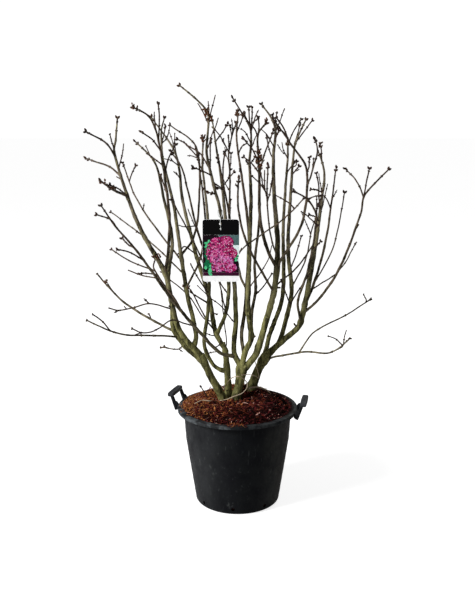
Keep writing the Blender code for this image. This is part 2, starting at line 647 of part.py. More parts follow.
def main():
    for obj in list(bpy.data.objects):
        bpy.data.objects.remove(obj)
    model = bpy.data.collections.new("potted_lilac")
    cutters = bpy.data.collections.new("cutters")
    for collection in (model, cutters):
        bpy.context.scene.collection.children.link(collection)
    pot_plastic = material("pot_plastic", (0.018, 0.020, 0.023), 0.45)
    bark_mulch = material("bark_mulch", (0.110, 0.040, 0.022), 0.9)
    label_plastic = material("label_plastic", (0.45, 0.10, 0.28), 0.35)
    tie_plastic = material("tie_plastic", (0.80, 0.82, 0.78), 0.4)
    barks = {
        "olive_bark": material("olive_bark", (0.150, 0.145, 0.075), 0.85),
        "brown_bark": material("brown_bark", (0.075, 0.058, 0.042), 0.85),
    }
    make_pot(model, cutters, pot_plastic)
    make_soil(model, bark_mulch)
    for name, angle in HANDLE_ANGLES.items():
        make_handle(name, angle, model, pot_plastic)
    paths = make_limbs(model, cutters, barks)
    make_label(model, label_plastic)
    make_tie(*paths["label_bough"], model, tie_plastic)


main()
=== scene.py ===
"""Looks of a leafless lilac shrub in a black nursery pot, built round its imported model.

Metres, +Z up. The front of the plant looks along -Y.
"""

import json
import math
import random
from collections import namedtuple
from functools import lru_cache

import bmesh
import bpy
import numpy as np
from mathutils import Matrix, Vector, noise

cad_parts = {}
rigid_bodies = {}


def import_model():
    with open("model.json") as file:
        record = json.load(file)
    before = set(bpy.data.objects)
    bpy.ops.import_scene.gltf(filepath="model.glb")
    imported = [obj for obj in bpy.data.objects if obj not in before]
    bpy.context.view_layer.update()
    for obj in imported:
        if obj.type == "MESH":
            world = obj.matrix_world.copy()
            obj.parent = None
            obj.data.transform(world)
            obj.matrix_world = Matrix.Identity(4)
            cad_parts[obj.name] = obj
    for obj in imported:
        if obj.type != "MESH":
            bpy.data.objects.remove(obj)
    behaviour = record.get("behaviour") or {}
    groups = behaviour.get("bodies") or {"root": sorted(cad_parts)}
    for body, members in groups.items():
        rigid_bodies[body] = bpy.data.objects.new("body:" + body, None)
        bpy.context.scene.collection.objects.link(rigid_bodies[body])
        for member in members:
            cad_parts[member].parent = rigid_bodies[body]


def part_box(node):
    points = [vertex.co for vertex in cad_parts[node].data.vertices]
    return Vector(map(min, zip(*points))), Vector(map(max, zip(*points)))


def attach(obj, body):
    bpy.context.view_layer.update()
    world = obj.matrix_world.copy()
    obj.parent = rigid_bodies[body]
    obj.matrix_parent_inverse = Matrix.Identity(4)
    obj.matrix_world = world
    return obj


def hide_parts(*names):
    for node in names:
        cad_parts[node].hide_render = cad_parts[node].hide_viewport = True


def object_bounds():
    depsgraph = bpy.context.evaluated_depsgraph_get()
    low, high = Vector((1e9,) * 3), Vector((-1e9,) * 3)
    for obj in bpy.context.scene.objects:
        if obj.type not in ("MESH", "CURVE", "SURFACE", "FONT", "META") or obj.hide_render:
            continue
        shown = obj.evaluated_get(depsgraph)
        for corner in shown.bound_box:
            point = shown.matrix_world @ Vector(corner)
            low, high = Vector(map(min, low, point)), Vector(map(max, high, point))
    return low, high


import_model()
CAD_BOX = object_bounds()
BODY = "root"
CM = 0.01
MM = 0.001

# Sizes that come from the frame
POT_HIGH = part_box("pot")[1]
POT_HEIGHT = POT_HIGH.z
LIP_RADIUS = POT_HIGH.x
MULCH_LOW, MULCH_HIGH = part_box("mulch")
SOIL_TOP = MULCH_HIGH.z
SOIL_RADIUS = MULCH_HIGH.x
LABEL_LOW, LABEL_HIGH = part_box("label")

# Pot, with the radii of its wall at three heights as in the solid
WALL = 0.003
FOOT_RADIUS = 0.1605
FOOT_ROUND = 0.014
SHOULDER_HEIGHT = 0.250
SHOULDER_RADIUS = 0.1985
NECK_HEIGHT = 0.366
NECK_RADIUS = 0.2065
LIP_DROP = 0.012
LIP_ROUND = 0.004
POT_SIDES = 144
DRAIN_HOLES = 8
DRAIN_RADIUS = 0.007
DRAIN_HEIGHT = 0.023
DRAIN_DEPTH = 0.016
DRAIN_SIDES = 24
DRAIN_FIRST_ANGLE = math.radians(-96)

# The bends of a limb are given as they look from the front, in centimetres,
# against the upright plane through the pot's axis. An eye at this distance
# and height sees them so, and each bend lies on its line of sight, as far
# back as the limb's own depth there.
EYE_DISTANCE = 3.16
EYE_HEIGHT = 1.50
EYE_PITCH = math.radians(77.4)
LENS = 51.9
SENSOR = 36.0

# name, parent (None for a stem that rises from the mulch), foot, bends to the
# tip, depth at the tip, further depth half-way, thickness at foot and tip
Limb = namedtuple("Limb", "name parent foot bends depth bow thick")
LIMBS = [
    Limb("stem_left", None, (-5.3, 40.3), [(-10.4, 50), (-13.9, 58)], -3, 0, (2.9, 2.4)),
    Limb("left_front_bough", "stem_left", (-13.8, 57.8),
         [(-21.5, 66.9), (-24.2, 76), (-27.2, 90), (-35.3, 105.3), (-40.4, 119), (-44.5, 134.2),
          (-43.7, 138.5), (-42.9, 146.5)], -16, 0, (2.1, 0.5)),
    Limb("left_back_bough", "stem_left", (-12.6, 54.8),
         [(-20.1, 61.6), (-24, 68), (-24.6, 77), (-25.7, 88), (-24.1, 102), (-27, 118),
          (-30, 130.5), (-37.2, 138.2)], 14, 3, (1.85, 0.5)),
    Limb("left_high_tip", "left_front_bough", (-44.5, 132.6),
         [(-47.5, 137.5), (-54.7, 141.4)], -24, 0, (0.66, 0.5)),
    Limb("left_middle_tip", "left_front_bough", (-42.6, 125.2),
         [(-46, 128.6), (-55, 131.9)], -4, 0, (0.66, 0.48)),
    Limb("left_low_tip", "left_front_bough", (-40.2, 118),
         [(-44.8, 120.3), (-50, 123.8)], -27, 0, (0.95, 0.6)),
    Limb("left_front_shoot", "left_front_bough", (-27.1, 89.6),
         [(-25.6, 98), (-25, 112), (-28.3, 138), (-31.5, 146.3), (-37.4, 149.9)], -32, 0, (1.08, 0.5)),
    Limb("left_side_shoot_high", "left_back_bough", (-23.8, 67.2),
         [(-28, 69.3), (-42.4, 78.4), (-52.4, 89.5)], 16, 0, (0.95, 0.55)),
    Limb("left_side_shoot_low", "left_back_bough", (-22.7, 64.6),
         [(-26, 65.4), (-42, 65.9), (-49, 67.9), (-57, 71.7)], -20, -3, (0.76, 0.5)),
    Limb("left_inner_bough", "left_front_bough", (-15.6, 61.4),
         [(-15.6, 66), (-18.6, 80.8), (-20.7, 95), (-23.1, 113.6), (-26.8, 131), (-27.4, 140.5),
          (-26, 146.4)], 12, 4, (1.75, 0.5)),
    Limb("left_cross_shoot", "left_inner_bough", (-20.7, 94),
         [(-30.1, 106.6), (-37.1, 117.7), (-41.6, 130.4)], 38, 1, (0.72, 0.5)),
    Limb("left_cross_twig", "left_inner_bough", (-20.1, 89.4),
         [(-33.3, 102.3), (-46.5, 112.5)], 42, 0, (0.62, 0.45)),
    Limb("inner_back_shoot", "left_inner_bough", (-20.8, 96.2),
         [(-16.5, 102.3), (-14.2, 113), (-14.7, 135.4), (-24.4, 143.8)], 40, 0, (0.86, 0.5)),
    Limb("inner_front_shoot", "left_inner_bough", (-18.9, 83.6),
         [(-13.5, 96), (-11.9, 110), (-14.3, 133)], -22, 0, (0.8, 0.5)),

    Limb("stem_back", None, (-3.4, 41.5), [(-3.9, 51), (-5, 63)], 9, 0, (2.6, 2.1)),
    Limb("back_cross_bough", "stem_back", (-4, 51.6),
         [(-6.6, 52.2), (-9.6, 54.6), (-12.6, 62), (-11, 76), (-10.5, 92), (-10.9, 110),
          (-12.7, 130), (-12.3, 139.3)], 15, 0, (1.55, 0.55)),
    Limb("back_left_bough", "stem_back", (-4.9, 60),
         [(-8.4, 67.5), (-10.5, 79.7), (-15.5, 97.3), (-20.2, 117.6), (-22.2, 133), (-31, 146.7)],
         29, 4, (1.85, 0.45)),
    Limb("label_bough", "back_left_bough", (-7.6, 65.8),
         [(-4.4, 74.5), (-3.3, 85), (-6, 110.9), (-11, 132.8), (-10.4, 147), (-14, 152),
          (-20.8, 157.6)], -10, -14, (1.5, 0.5)),
    Limb("inner_left_twig", "back_cross_bough", (-10.5, 88.5),
         [(-16.6, 102.2), (-24.1, 117.2)], -8, 0, (0.62, 0.45)),
    Limb("inner_left_shoot", "back_cross_bough", (-10.5, 93),
         [(-15, 106.5), (-20, 128), (-24.4, 134.6)], 2, 0, (0.86, 0.5)),

    Limb("stem_centre", None, (-0.5, 40.5), [(1, 48), (1.6, 53.6)], 2, 0, (3.4, 3.1)),
    Limb("centre_left_bough", "stem_centre", (1.4, 53.2),
         [(-1.3, 59), (-0.7, 71.4), (-1.2, 86), (-4.4, 110), (-5.7, 123), (-9.3, 146.7)],
         22, 0, (1.95, 0.45)),
    Limb("long_left_bough", "centre_left_bough", (-0.9, 57.6),
         [(-6.5, 58.8), (-12.7, 65.1), (-23.8, 78.5), (-35.3, 95.4), (-44.9, 107.2), (-50, 115)],
         -34, 0, (1.35, 0.45)),
    Limb("centre_bough", "stem_centre", (1.4, 52.2),
         [(3, 59.5), (5.2, 64.5), (4, 76), (4.3, 95), (4.9, 116), (4.4, 129.7), (4.8, 141),
          (2.1, 147.8)], -6, 0, (2.1, 0.5)),
    Limb("centre_twin_shoot", "centre_bough", (2.6, 58.4),
         [(1.5, 65.1), (2.9, 77), (4.2, 103), (3, 115), (-0.2, 138), (0.1, 148.7)], 34, 4, (1.45, 0.55)),
    Limb("centre_hidden_shoot", "centre_bough", (3.9, 82.5),
         [(0.8, 89.4), (-2.8, 110), (-2.7, 125.3), (-3.1, 134.4), (-0.5, 144.6)], 40, 6, (0.92, 0.5)),
    Limb("centre_front_shoot", "centre_left_bough", (-2.4, 96),
         [(-3, 110), (-5, 122), (-7.2, 132)], -24, 0, (0.8, 0.5)),
    Limb("long_cross_twig", "centre_left_bough", (-1.9, 92.5),
         [(0.9, 97.7), (5.4, 101.6), (17.2, 110.1), (24.4, 117.4)], -33, -4, (0.56, 0.45)),
    Limb("knuckle_shoot", "centre_bough", (5.1, 65),
         [(5.4, 74), (6.8, 83), (6.4, 93), (8, 110), (8.3, 128), (13, 142)], 42, 0, (1.2, 0.5)),
    Limb("right_centre_bough", "stem_centre", (1.2, 51.4),
         [(4.4, 54.6), (7.3, 59), (10.4, 69.9), (13.9, 84.2), (14.8, 100), (13.3, 119.1),
          (12.9, 132), (13.4, 143), (8.4, 151.2)], 8, -5, (2.55, 0.5)),
    Limb("fan_left_bough", "right_centre_bough", (14.2, 91.5),
         [(11.5, 97.3), (8.4, 109), (7.9, 127.5), (7.4, 140.3), (10.5, 144.6)], -14, 0, (1.28, 0.55)),
    Limb("fan_front_twig", "right_centre_bough", (14.5, 95),
         [(12.1, 104.3), (10.8, 117.6), (11.1, 129.5)], -38, 0, (0.6, 0.45)),
    Limb("fan_right_bough", "right_centre_bough", (14.2, 90),
         [(16, 94.4), (23.6, 108), (25.1, 127.5), (19.1, 137.1), (12.5, 146)], -26, 0, (1.02, 0.5)),
    Limb("fan_right_twig", "fan_right_bough", (24.9, 121.5),
         [(27.5, 129), (28.8, 134.6), (27.9, 138.7)], -40, 0, (0.6, 0.45)),
    Limb("front_hanging_shoot", "right_centre_bough", (13.4, 82.4),
         [(6.3, 95), (1.9, 105.4), (0.1, 116), (0.5, 125)], -32, 0, (0.9, 0.55)),
    Limb("right_inner_twig", "right_centre_bough", (13.8, 84.6),
         [(22, 91.8), (28.3, 100.8)], 28, 0, (0.68, 0.5)),

    Limb("stem_right", None, (4.6, 43.4), [(8.4, 53.2), (11.2, 58.2)], 6, 0, (3.6, 3.0)),
    Limb("right_outer_bough", "stem_right", (11, 57.8),
         [(16.8, 63.3), (23.1, 69.4), (25.3, 78.5), (28.1, 95.4), (30.8, 117.6), (31.5, 126.9),
          (29, 134.7)], -4, 0, (2.3, 0.5)),
    Limb("right_middle_bough", "stem_right", (10.4, 56.6),
         [(15.3, 62), (19.2, 76), (20.2, 84.2), (18.7, 98), (19.4, 120), (20.7, 136.4),
          (24.6, 145.8)], 20, 3, (1.85, 0.55)),
    Limb("right_inner_bough", "stem_right", (9.8, 55.8),
         [(12.2, 66), (16.4, 78.5), (17.2, 88), (16.8, 108), (18, 138.2), (13, 144.4)],
         38, 2, (1.8, 0.45)),
    Limb("right_front_shoot", "right_outer_bough", (23.4, 71),
         [(22.6, 79), (26.1, 90.3), (28.9, 110), (26, 116.5), (20.2, 120.2)], -32, 0, (0.98, 0.5)),
    Limb("right_back_shoot", "right_outer_bough", (25.3, 77.8),
         [(28.3, 85), (32.6, 102.1), (35.8, 128.8)], 27, 0, (1.05, 0.5)),
    Limb("right_slim_shoot", "right_back_shoot", (28.6, 85.4),
         [(34.8, 97.7), (37.6, 110), (39, 119.8)], 4, 0, (0.56, 0.45)),
    Limb("right_back_twig", "right_back_shoot", (27.8, 83.4),
         [(31.4, 85.8), (37, 89.8), (40.8, 95.2), (43.6, 101)], 44, 0, (0.56, 0.45)),
    Limb("right_far_bough", "right_outer_bough", (24.5, 74.6),
         [(28, 77.2), (33, 83), (38.5, 92.8), (45.2, 112), (46.4, 118.6), (54.9, 128.1)],
         -12, -4, (1.0, 0.5)),
    Limb("right_far_tip", "right_far_bough", (46.2, 117.6),
         [(43.4, 123.4), (38.8, 128.3)], 6, 0, (0.55, 0.48)),
    Limb("right_thin_shoot", "right_middle_bough", (20.2, 84),
         [(25.1, 94.3), (27.2, 105), (29, 111.5)], 44, 0, (0.6, 0.5)),
    Limb("low_right_shoot", "stem_right", (9.6, 55.6),
         [(11.9, 56.5), (14.9, 57.4), (26, 59.2), (35.5, 59), (42.8, 64.6)], -24, 0, (0.8, 0.5)),
    Limb("low_right_twig", "low_right_shoot", (23.4, 59.1),
         [(28.9, 66.9), (40.9, 73.7), (50.2, 79.8)], 8, 0, (0.62, 0.5)),
]

# Twigs that show apart from the limbs: limb each grows from, foot, bends, depth at the tip,
# thickness at the foot, and a name if others grow from it
Twig = namedtuple("Twig", "parent foot bends depth thick name", defaults=[""])
TWIGS = [
    Twig("left_front_bough", (-24.5, 75.5),
         [(-27, 76.5), (-33, 78), (-39.1, 76.4), (-44.7, 75.4), (-48.3, 76.3)], -12, 0.57, "upper_curl"),
    Twig("long_left_bough", (-16.8, 68.7),
         [(-20, 70.3), (-24.8, 71.6), (-29.5, 68.5), (-32.7, 67), (-36.5, 66.8), (-40, 68.5)],
         -24, 0.57, "middle_curl"),
    Twig("left_back_bough", (-20.6, 62),
         [(-22.3, 60.3), (-27.4, 60.8), (-29.4, 60.9)], 8, 0.54, "low_curl"),
    Twig("left_side_shoot_low", (-47.8, 67.5), [(-50.8, 71), (-54.6, 74)], -24, 0.54),
    Twig("left_side_shoot_high", (-47, 83), [(-48.7, 86.3)], 12, 0.52),
    Twig("long_left_bough", (-20.5, 75.5),
         [(-23.8, 80.3), (-26.2, 83.3), (-28.7, 87), (-30.2, 89.7), (-31.2, 92), (-30.3, 95.3)],
         -4, 0.96, "left_inner_shoot"),
    Twig("left_inner_shoot", (-30.6, 90.6), [(-38.5, 93.5), (-43, 96), (-46.9, 98.6)], 4, 0.57),
    Twig("long_left_bough", (-34.5, 94.5), [(-40, 97.5), (-44.7, 98.7)], -30, 0.57),
    Twig("long_left_bough", (-38.6, 99.4), [(-40, 100), (-42.8, 102.8)], -20, 0.54),
    Twig("left_inner_shoot", (-29.8, 89), [(-34, 89.6), (-37, 89.4)], -10, 0.54),
    Twig("left_inner_shoot", (-29, 87.6), [(-35.5, 88.8), (-40.4, 90.7)], 6, 0.54),
    Twig("long_left_bough", (-44, 106.2), [(-46.5, 109.5), (-52, 111.5)], -32, 0.54),
    Twig("left_front_bough", (-44.3, 135.2), [(-45.2, 137.5), (-45.9, 140.5)], -20, 0.52),
    Twig("left_front_bough", (-43, 128), [(-41.6, 133), (-41, 137)], -8, 0.52),
    Twig("left_cross_shoot", (-39.2, 123.7), [(-38.2, 126.5), (-36.6, 129.5)], 30, 0.54),
    Twig("left_front_bough", (-42.2, 124), [(-43, 124.7), (-43.9, 125.2)], -12, 0.52),
    Twig("left_front_shoot", (-28.3, 138), [(-28, 144.5), (-28.2, 151.4)], -30, 0.54),
    Twig("left_front_shoot", (-29.4, 142), [(-29.6, 145), (-29.7, 148.2)], -36, 0.52),
    Twig("left_front_shoot", (-27.8, 134.5), [(-30.6, 138.4), (-34.6, 141.2)], -34, 0.54),
    Twig("left_back_bough", (-29.2, 128.5), [(-31.6, 133), (-33.2, 136.4)], 22, 0.52),
    Twig("left_front_shoot", (-27.2, 129.5), [(-30.8, 132.2), (-33, 133.6)], -22, 0.52),
    Twig("left_front_shoot", (-26.6, 126), [(-24.6, 132.4), (-22.3, 137)], -24, 0.54),
    Twig("left_inner_bough", (-27.3, 137), [(-25.4, 139), (-24.2, 143.4)], 16, 0.52),
    Twig("back_left_bough", (-21.9, 131.6), [(-22.5, 136), (-22.6, 140.8)], 34, 0.52),
    Twig("back_left_bough", (-21, 124), [(-21.6, 125.6), (-23.2, 127)], 20, 0.52),
    Twig("label_bough", (-10.6, 146), [(-10.2, 149), (-10.4, 151.9)], -12, 0.52),
    Twig("label_bough", (-10.4, 143.8), [(-12.2, 147.8), (-14.1, 151.2)], -4, 0.52),
    Twig("label_bough", (-10.1, 125.6), [(-13, 127.4), (-16.3, 128.5)], -22, 0.54),
    Twig("label_bough", (-9.4, 122.5), [(-7.4, 121.2), (-5.5, 121)], -14, 0.54),
    Twig("label_bough", (-10.2, 128), [(-13.4, 133.4), (-18.4, 136.6)], -2, 0.54),
    Twig("inner_back_shoot", (-14.6, 131.5), [(-16.4, 132.6), (-18, 132.7)], 32, 0.52),
    Twig("inner_back_shoot", (-14.4, 126), [(-12.6, 128.6), (-12.2, 131.6)], 36, 0.52),
    Twig("centre_left_bough", (-8, 137.4), [(-5, 141.6), (-3.4, 144.4)], 26, 0.54),
    Twig("centre_hidden_shoot", (-3.2, 134), [(-6.1, 139.5), (-8.9, 142.8)], 34, 0.54),
    Twig("centre_front_shoot", (-5.3, 123.4), [(-5.2, 128), (-4.6, 134.4)], -26, 0.54),
    Twig("centre_bough", (4.8, 139), [(4.4, 145), (3.9, 150.1)], -12, 0.54),
    Twig("centre_bough", (4.8, 141), [(5.2, 146), (5.2, 150)], -2, 0.54),
    Twig("centre_twin_shoot", (-0.1, 141), [(1.2, 144.6), (2.3, 148)], 38, 0.54),
    Twig("fan_left_bough", (7.5, 139.4),
         [(6.1, 142.2), (3, 145.9), (-0.1, 150.4), (-2, 153.5)], -20, 0.54, "fan_left_tip"),
    Twig("fan_left_bough", (7.5, 139.8), [(7.7, 143), (7.4, 146.7)], -8, 0.54),
    Twig("fan_left_bough", (7.8, 131), [(5, 135.4), (2, 139)], -24, 0.54),
    Twig("fan_left_bough", (8, 126.6), [(5, 130.2), (2, 132.5)], -4, 0.54),
    Twig("fan_front_twig", (10.8, 117), [(9.9, 121.6), (9.8, 127.5)], -42, 0.52),
    Twig("fan_front_twig", (10.8, 119), [(8.4, 122.4), (5.1, 125.7)], -32, 0.52),
    Twig("fan_front_twig", (10.8, 116.4), [(11.9, 119.6), (12.5, 124)], -26, 0.52),
    Twig("right_centre_bough", (13.4, 141), [(15.2, 145), (16.8, 149.4)], 14, 0.52),
    Twig("right_centre_bough", (13.4, 142.6), [(13.3, 144.4), (12.5, 147.5)], 2, 0.54),
    Twig("right_inner_bough", (18, 136.6), [(20.4, 142.1), (23, 145.8)], 44, 0.57),
    Twig("right_inner_bough", (17.8, 132), [(16.6, 134.6), (16, 137.5)], 30, 0.52),
    Twig("right_middle_bough", (21, 137.4), [(24, 141.6), (27.1, 145.4)], 26, 0.57),
    Twig("right_middle_bough", (20.2, 128.6), [(21.2, 129.4), (21.5, 131)], 12, 0.52),
    Twig("fan_right_bough", (25.1, 126), [(25.8, 129), (26, 132.4)], -30, 0.54),
    Twig("right_outer_bough", (30.4, 131), [(30.3, 134.4), (29.7, 136.9)], 6, 0.54),
    Twig("right_front_shoot", (28.9, 110), [(28.9, 114), (28.8, 118.3)], -28, 0.52),
    Twig("right_back_shoot", (34, 113.6),
         [(32.6, 117), (30.9, 118.5), (27.2, 117.8), (25.6, 116.9)], 16, 0.54),
    Twig("right_thin_shoot", (27, 104.4), [(25.2, 108.2), (23.5, 112)], 38, 0.52),
    Twig("right_middle_bough", (19.4, 90.5), [(21.3, 95.5), (22.6, 100), (23.6, 103.8)], 8, 0.57),
    Twig("right_far_bough", (46.2, 117.6), [(46.8, 122.7), (47.8, 128.5)], -18, 0.54),
    Twig("right_middle_bough", (19.4, 78), [(18.4, 81), (17, 84.9), (16.2, 87.3)], 2, 0.54),
    Twig("right_middle_bough", (19.4, 77), [(20.5, 79), (22.7, 83), (26.9, 89.4)], -2, 0.57),
    Twig("low_right_shoot", (38.2, 60), [(39.8, 61.4), (40.4, 65), (41.2, 67.8)], -20, 0.52),
    Twig("low_right_shoot", (40, 61.6), [(37, 64.3), (34, 65.4)], -28, 0.52),
    Twig("low_right_twig", (48.4, 78.4), [(48.2, 79.4), (47, 81.7)], 4, 0.52),
    Twig("centre_bough", (4, 83.6), [(5.1, 85.1), (8.5, 89.8), (11.5, 95), (12.6, 99.9)], -14, 0.52),
    Twig("knuckle_shoot", (6.8, 81), [(9.5, 84.4), (12.9, 89.6)], 20, 0.57),
    Twig("long_cross_twig", (21, 113.6), [(18.9, 115.6), (13.3, 119)], -26, 0.52),
    Twig("label_bough", (-4.2, 75.2), [(-5.2, 78.5), (-6.1, 83), (-8, 92)], -6, 0.57),
    Twig("label_bough", (-3.5, 81.4), [(-6.5, 86.2), (-9, 94)], 6, 0.54),
    Twig("centre_left_bough", (-0.8, 70), [(-2, 71.6), (-6.3, 77.2), (-10, 79.9), (-15, 85)], -6, 0.52),
    Twig("back_cross_bough", (-10.8, 81.4), [(-12.4, 84.2), (-15.7, 89.4), (-17.3, 93)], 2, 0.57),
    Twig("back_left_bough", (-15.5, 97), [(-19.6, 99.6), (-21.6, 96.8)], 8, 0.54),
    Twig("inner_back_shoot", (-14.9, 131.6), [(-18.9, 137.1), (-21.9, 138.7)], 30, 0.56),
    Twig("back_left_bough", (-21.6, 129), [(-24, 131), (-26.4, 131.6)], 26, 0.5),
    Twig("centre_left_bough", (-5.5, 121.2), [(-3.1, 124.7), (-1, 127.1)], 18, 0.54),
    Twig("inner_left_shoot", (-13.6, 102.6), [(-16.3, 108.7), (-18.1, 113.5)], -10, 0.46),
    Twig("inner_left_shoot", (-17.2, 106.9), [(-20, 107), (-21.4, 107.5)], -6, 0.5),
    Twig("centre_left_bough", (-1.6, 92.2), [(0.2, 96.4), (1.5, 99.1)], 26, 0.5),
    Twig("back_left_bough", (-8.4, 67), [(-11.2, 71), (-13.6, 75.4), (-16.8, 82.1), (-19, 85)], 8, 0.66),
    Twig("back_left_bough", (-10.6, 77.4), [(-13.4, 79.6), (-16, 81.2), (-17.8, 82.6)], 6, 0.84),
    Twig("back_left_bough", (-8, 65.6), [(-9.6, 65.6), (-12.7, 66.7)], 6, 0.5),
    Twig("back_left_bough", (-9.4, 74.2), [(-8.5, 74.1), (-7.6, 73.9)], 8, 0.54),
    Twig("long_left_bough", (-9.2, 60.4), [(-7.6, 61.4), (-6.5, 62.5), (-6.1, 64.6)], 2, 0.52),
    Twig("back_cross_bough", (-11.6, 58.6), [(-10, 59), (-8.2, 59.2)], 4, 0.48),
    Twig("upper_curl", (-33.2, 78), [(-33.9, 78.8), (-34.9, 79.8)], -10, 0.54),
    Twig("upper_curl", (-41.6, 75.9), [(-42, 76.3), (-42.5, 77)], -11, 0.48),
    Twig("upper_curl", (-44.1, 75.4), [(-45, 75.1), (-46.4, 74.5)], -13, 0.48),
    Twig("left_side_shoot_high", (-32.2, 72.2), [(-32.9, 73.2), (-33.5, 74.2)], 9, 0.54),
    Twig("middle_curl", (-36.4, 66.8), [(-37.3, 66.4), (-38.6, 66)], -24, 0.48),
    Twig("middle_curl", (-36.4, 66.8), [(-36.4, 66), (-36.3, 65.2)], -23, 0.48),
    Twig("low_curl", (-22.2, 60.4), [(-21.6, 59.8), (-20.8, 59.3)], 6, 0.48),
    Twig("low_curl", (-26.9, 60.7), [(-27.4, 61.1), (-28, 61.6)], 7, 0.54),
    Twig("centre_hidden_shoot", (-3.1, 134.2), [(-3.1, 137), (-3.3, 139.9)], 36, 0.58),
    Twig("centre_hidden_shoot", (-1.4, 140), [(-1.7, 143), (-2.1, 145.8)], 40, 0.5),
    Twig("centre_hidden_shoot", (-1.6, 139.6), [(-2.6, 142.6), (-3.3, 144.8)], 38, 0.5),
    Twig("centre_twin_shoot", (-0.1, 133.6), [(1.8, 136.2), (3.7, 137.4), (2, 138.9)], 30, 0.58),
    Twig("label_bough", (-8.3, 118.6), [(-9.6, 119.3), (-10.9, 119.6)], -16, 0.56),
    Twig("centre_left_bough", (-5.6, 121), [(-7.2, 122), (-8.7, 122.7)], 14, 0.54),
    Twig("back_left_bough", (-10, 71),
         [(-12.2, 71.9), (-15.2, 76.3), (-18.2, 80.9), (-21.8, 84.3), (-25.3, 87.3)], 20, 0.54),
    Twig("stem_back", (-4.6, 60.2), [(-4.1, 62.6), (-4.7, 68.6), (-5.4, 74.9), (-6.2, 83)], 4, 0.5),
    Twig("right_outer_bough", (31.3, 120), [(30, 119.9), (28.6, 120.6), (26.5, 120.6)], -12, 0.54),
    Twig("right_outer_bough", (30.2, 113), [(29.6, 118), (29.5, 122.2), (28.5, 126.7)], -14, 0.58),
    Twig("right_outer_bough", (30.4, 110.6), [(31.4, 116), (32.8, 122.6)], 8, 0.48),
    Twig("right_back_shoot", (34.3, 117.4), [(35.4, 118.9), (36.2, 120.4)], 30, 0.5),
    Twig("right_middle_bough", (20, 126), [(21.2, 127.6), (22.4, 129.2)], 16, 0.56),
    Twig("right_inner_bough", (17.6, 126.6), [(19.4, 128.7), (21.6, 131.1)], 30, 0.56),
    Twig("right_centre_bough", (13.3, 137.2), [(14, 139.7), (15, 141.8)], 2, 0.54),
    Twig("fan_right_bough", (18.6, 138), [(15.9, 143.6), (13.8, 146.3)], -34, 0.58),
    Twig("right_centre_bough", (13.1, 135.6), [(10.6, 140.1), (8.3, 142.3)], -6, 0.5),
    Twig("centre_bough", (4.7, 137.4), [(2.9, 140.8), (1.2, 142.3)], -12, 0.5),
    Twig("centre_bough", (4.8, 141), [(6.3, 146.1), (7.5, 148.8)], 4, 0.5),
    Twig("right_outer_bough", (30.2, 109), [(28.4, 110.7), (26, 111.4)], -10, 0.56),
    Twig("right_front_shoot", (28.6, 108), [(26.7, 109.9), (25.1, 111.4), (23.2, 112.5)], -34, 0.48),
    Twig("left_front_bough", (-40.4, 118.4), [(-43.2, 120.8), (-46.6, 122.4)], -25, 0.56),
]

# Stubs where a shoot was once cut: limb, place, length in centimetres, and lean
STUBS = [("centre_bough", (5.2, 64.2), 1.6, 0.5), ("right_outer_bough", (22.6, 68.8), 1.8, -0.4),
         ("stem_left", (-12.8, 55.6), 1.0, -0.8), ("left_front_bough", (-24.3, 76.4), 1.0, -0.6),
         ("back_left_bough", (-14.8, 95), 1.2, 0.6), ("right_centre_bough", (13.7, 84), 1.2, 0.9)]

# Stems that end in a thin dead snag above their last fork, and the share of their length where it starts
SNAGS = {"stem_back": 0.84}

# Where the remains of last year's flowers cling, as they look from the front,
# how far they reach along their limb and how many capsules are left
PANICLES = [(-10.6, 146.4, 5, 40), (-12.2, 138.4, 3.6, 18), (0.1, 147.2, 2.6, 16), (2.2, 146.4, 2.6, 12),
            (7.6, 130.8, 6.6, 50), (18.2, 136.6, 3, 16), (29.3, 136, 2, 8), (-48.6, 123.2, 3, 12),
            (-45.4, 121, 4, 18), (-30.1, 95, 2.4, 14), (-48.7, 86.4, 3, 10), (-18.6, 83.1, 1.6, 8),
            (-26.8, 89.8, 1.6, 7), (-36.4, 149.4, 1.6, 4), (10.6, 144.6, 2, 7)]

# Pale dry stems of a climbing weed: thickness, and places as they look from
# the front with their depth, all in centimetres. A place that lies on the
# mulch in front has no depth of its own.
STRANDS = [
    (0.36, [(-16.5, 38.5, None), (-13.6, 39.9, None), (-10.8, 39.6, None), (-7.8, 39.6, 0.4),
            (-4.3, 40.2, -0.6), (-1.5, 41.4, -1.6), (1.6, 42.6, -1), (3.5, 44.7, 0.4), (3.7, 46.7, 1.2),
            (2.4, 48.4, -0.6), (0.4, 49.4, -2), (-1.5, 49.2, -0.8), (-3.1, 48, 1.6), (-4.7, 45.5, 3.6),
            (-5.4, 44.2, 4.4)]),
    (0.70, [(4.3, 44.3, 4.4), (4.9, 44.9, 6), (7.9, 45.2, 7.4), (11, 44, 10), (12.7, 42.4, 9)]),
    (0.30, [(1.6, 50, -1.4), (4.3, 50.2, 0.8), (6.6, 49.7, 2), (8.2, 48.8, 4.4), (7.4, 52.6, 4.2),
            (6.6, 55.6, 4)]),
    (0.26, [(-6.4, 46, 5.4), (-5.4, 44.6, 4.8), (-3.4, 43.4, 5.2)]),
]
STRAND_REST = 0.0075
STRAND_REACH = 0.25
STRAND_SEARCH_STEPS = 24
STRAND_STEP = 0.003
STRAND_UNEVEN = 0.25
STRAND_UNEVEN_PACE = 90

# Dead bit of twig that stands in the mulch: places from the foot up, and its
# thickness, all in centimetres
STRAY_TWIG = [(-11.2, 40.4, 3), (-12.4, 42.6, 2.4), (-13.9, 45.1, 2)]
STRAY_THICK = 0.56
STRAY_TAPER = 0.8
STRAY_BUD = (11 * MM, 9.5 * MM)

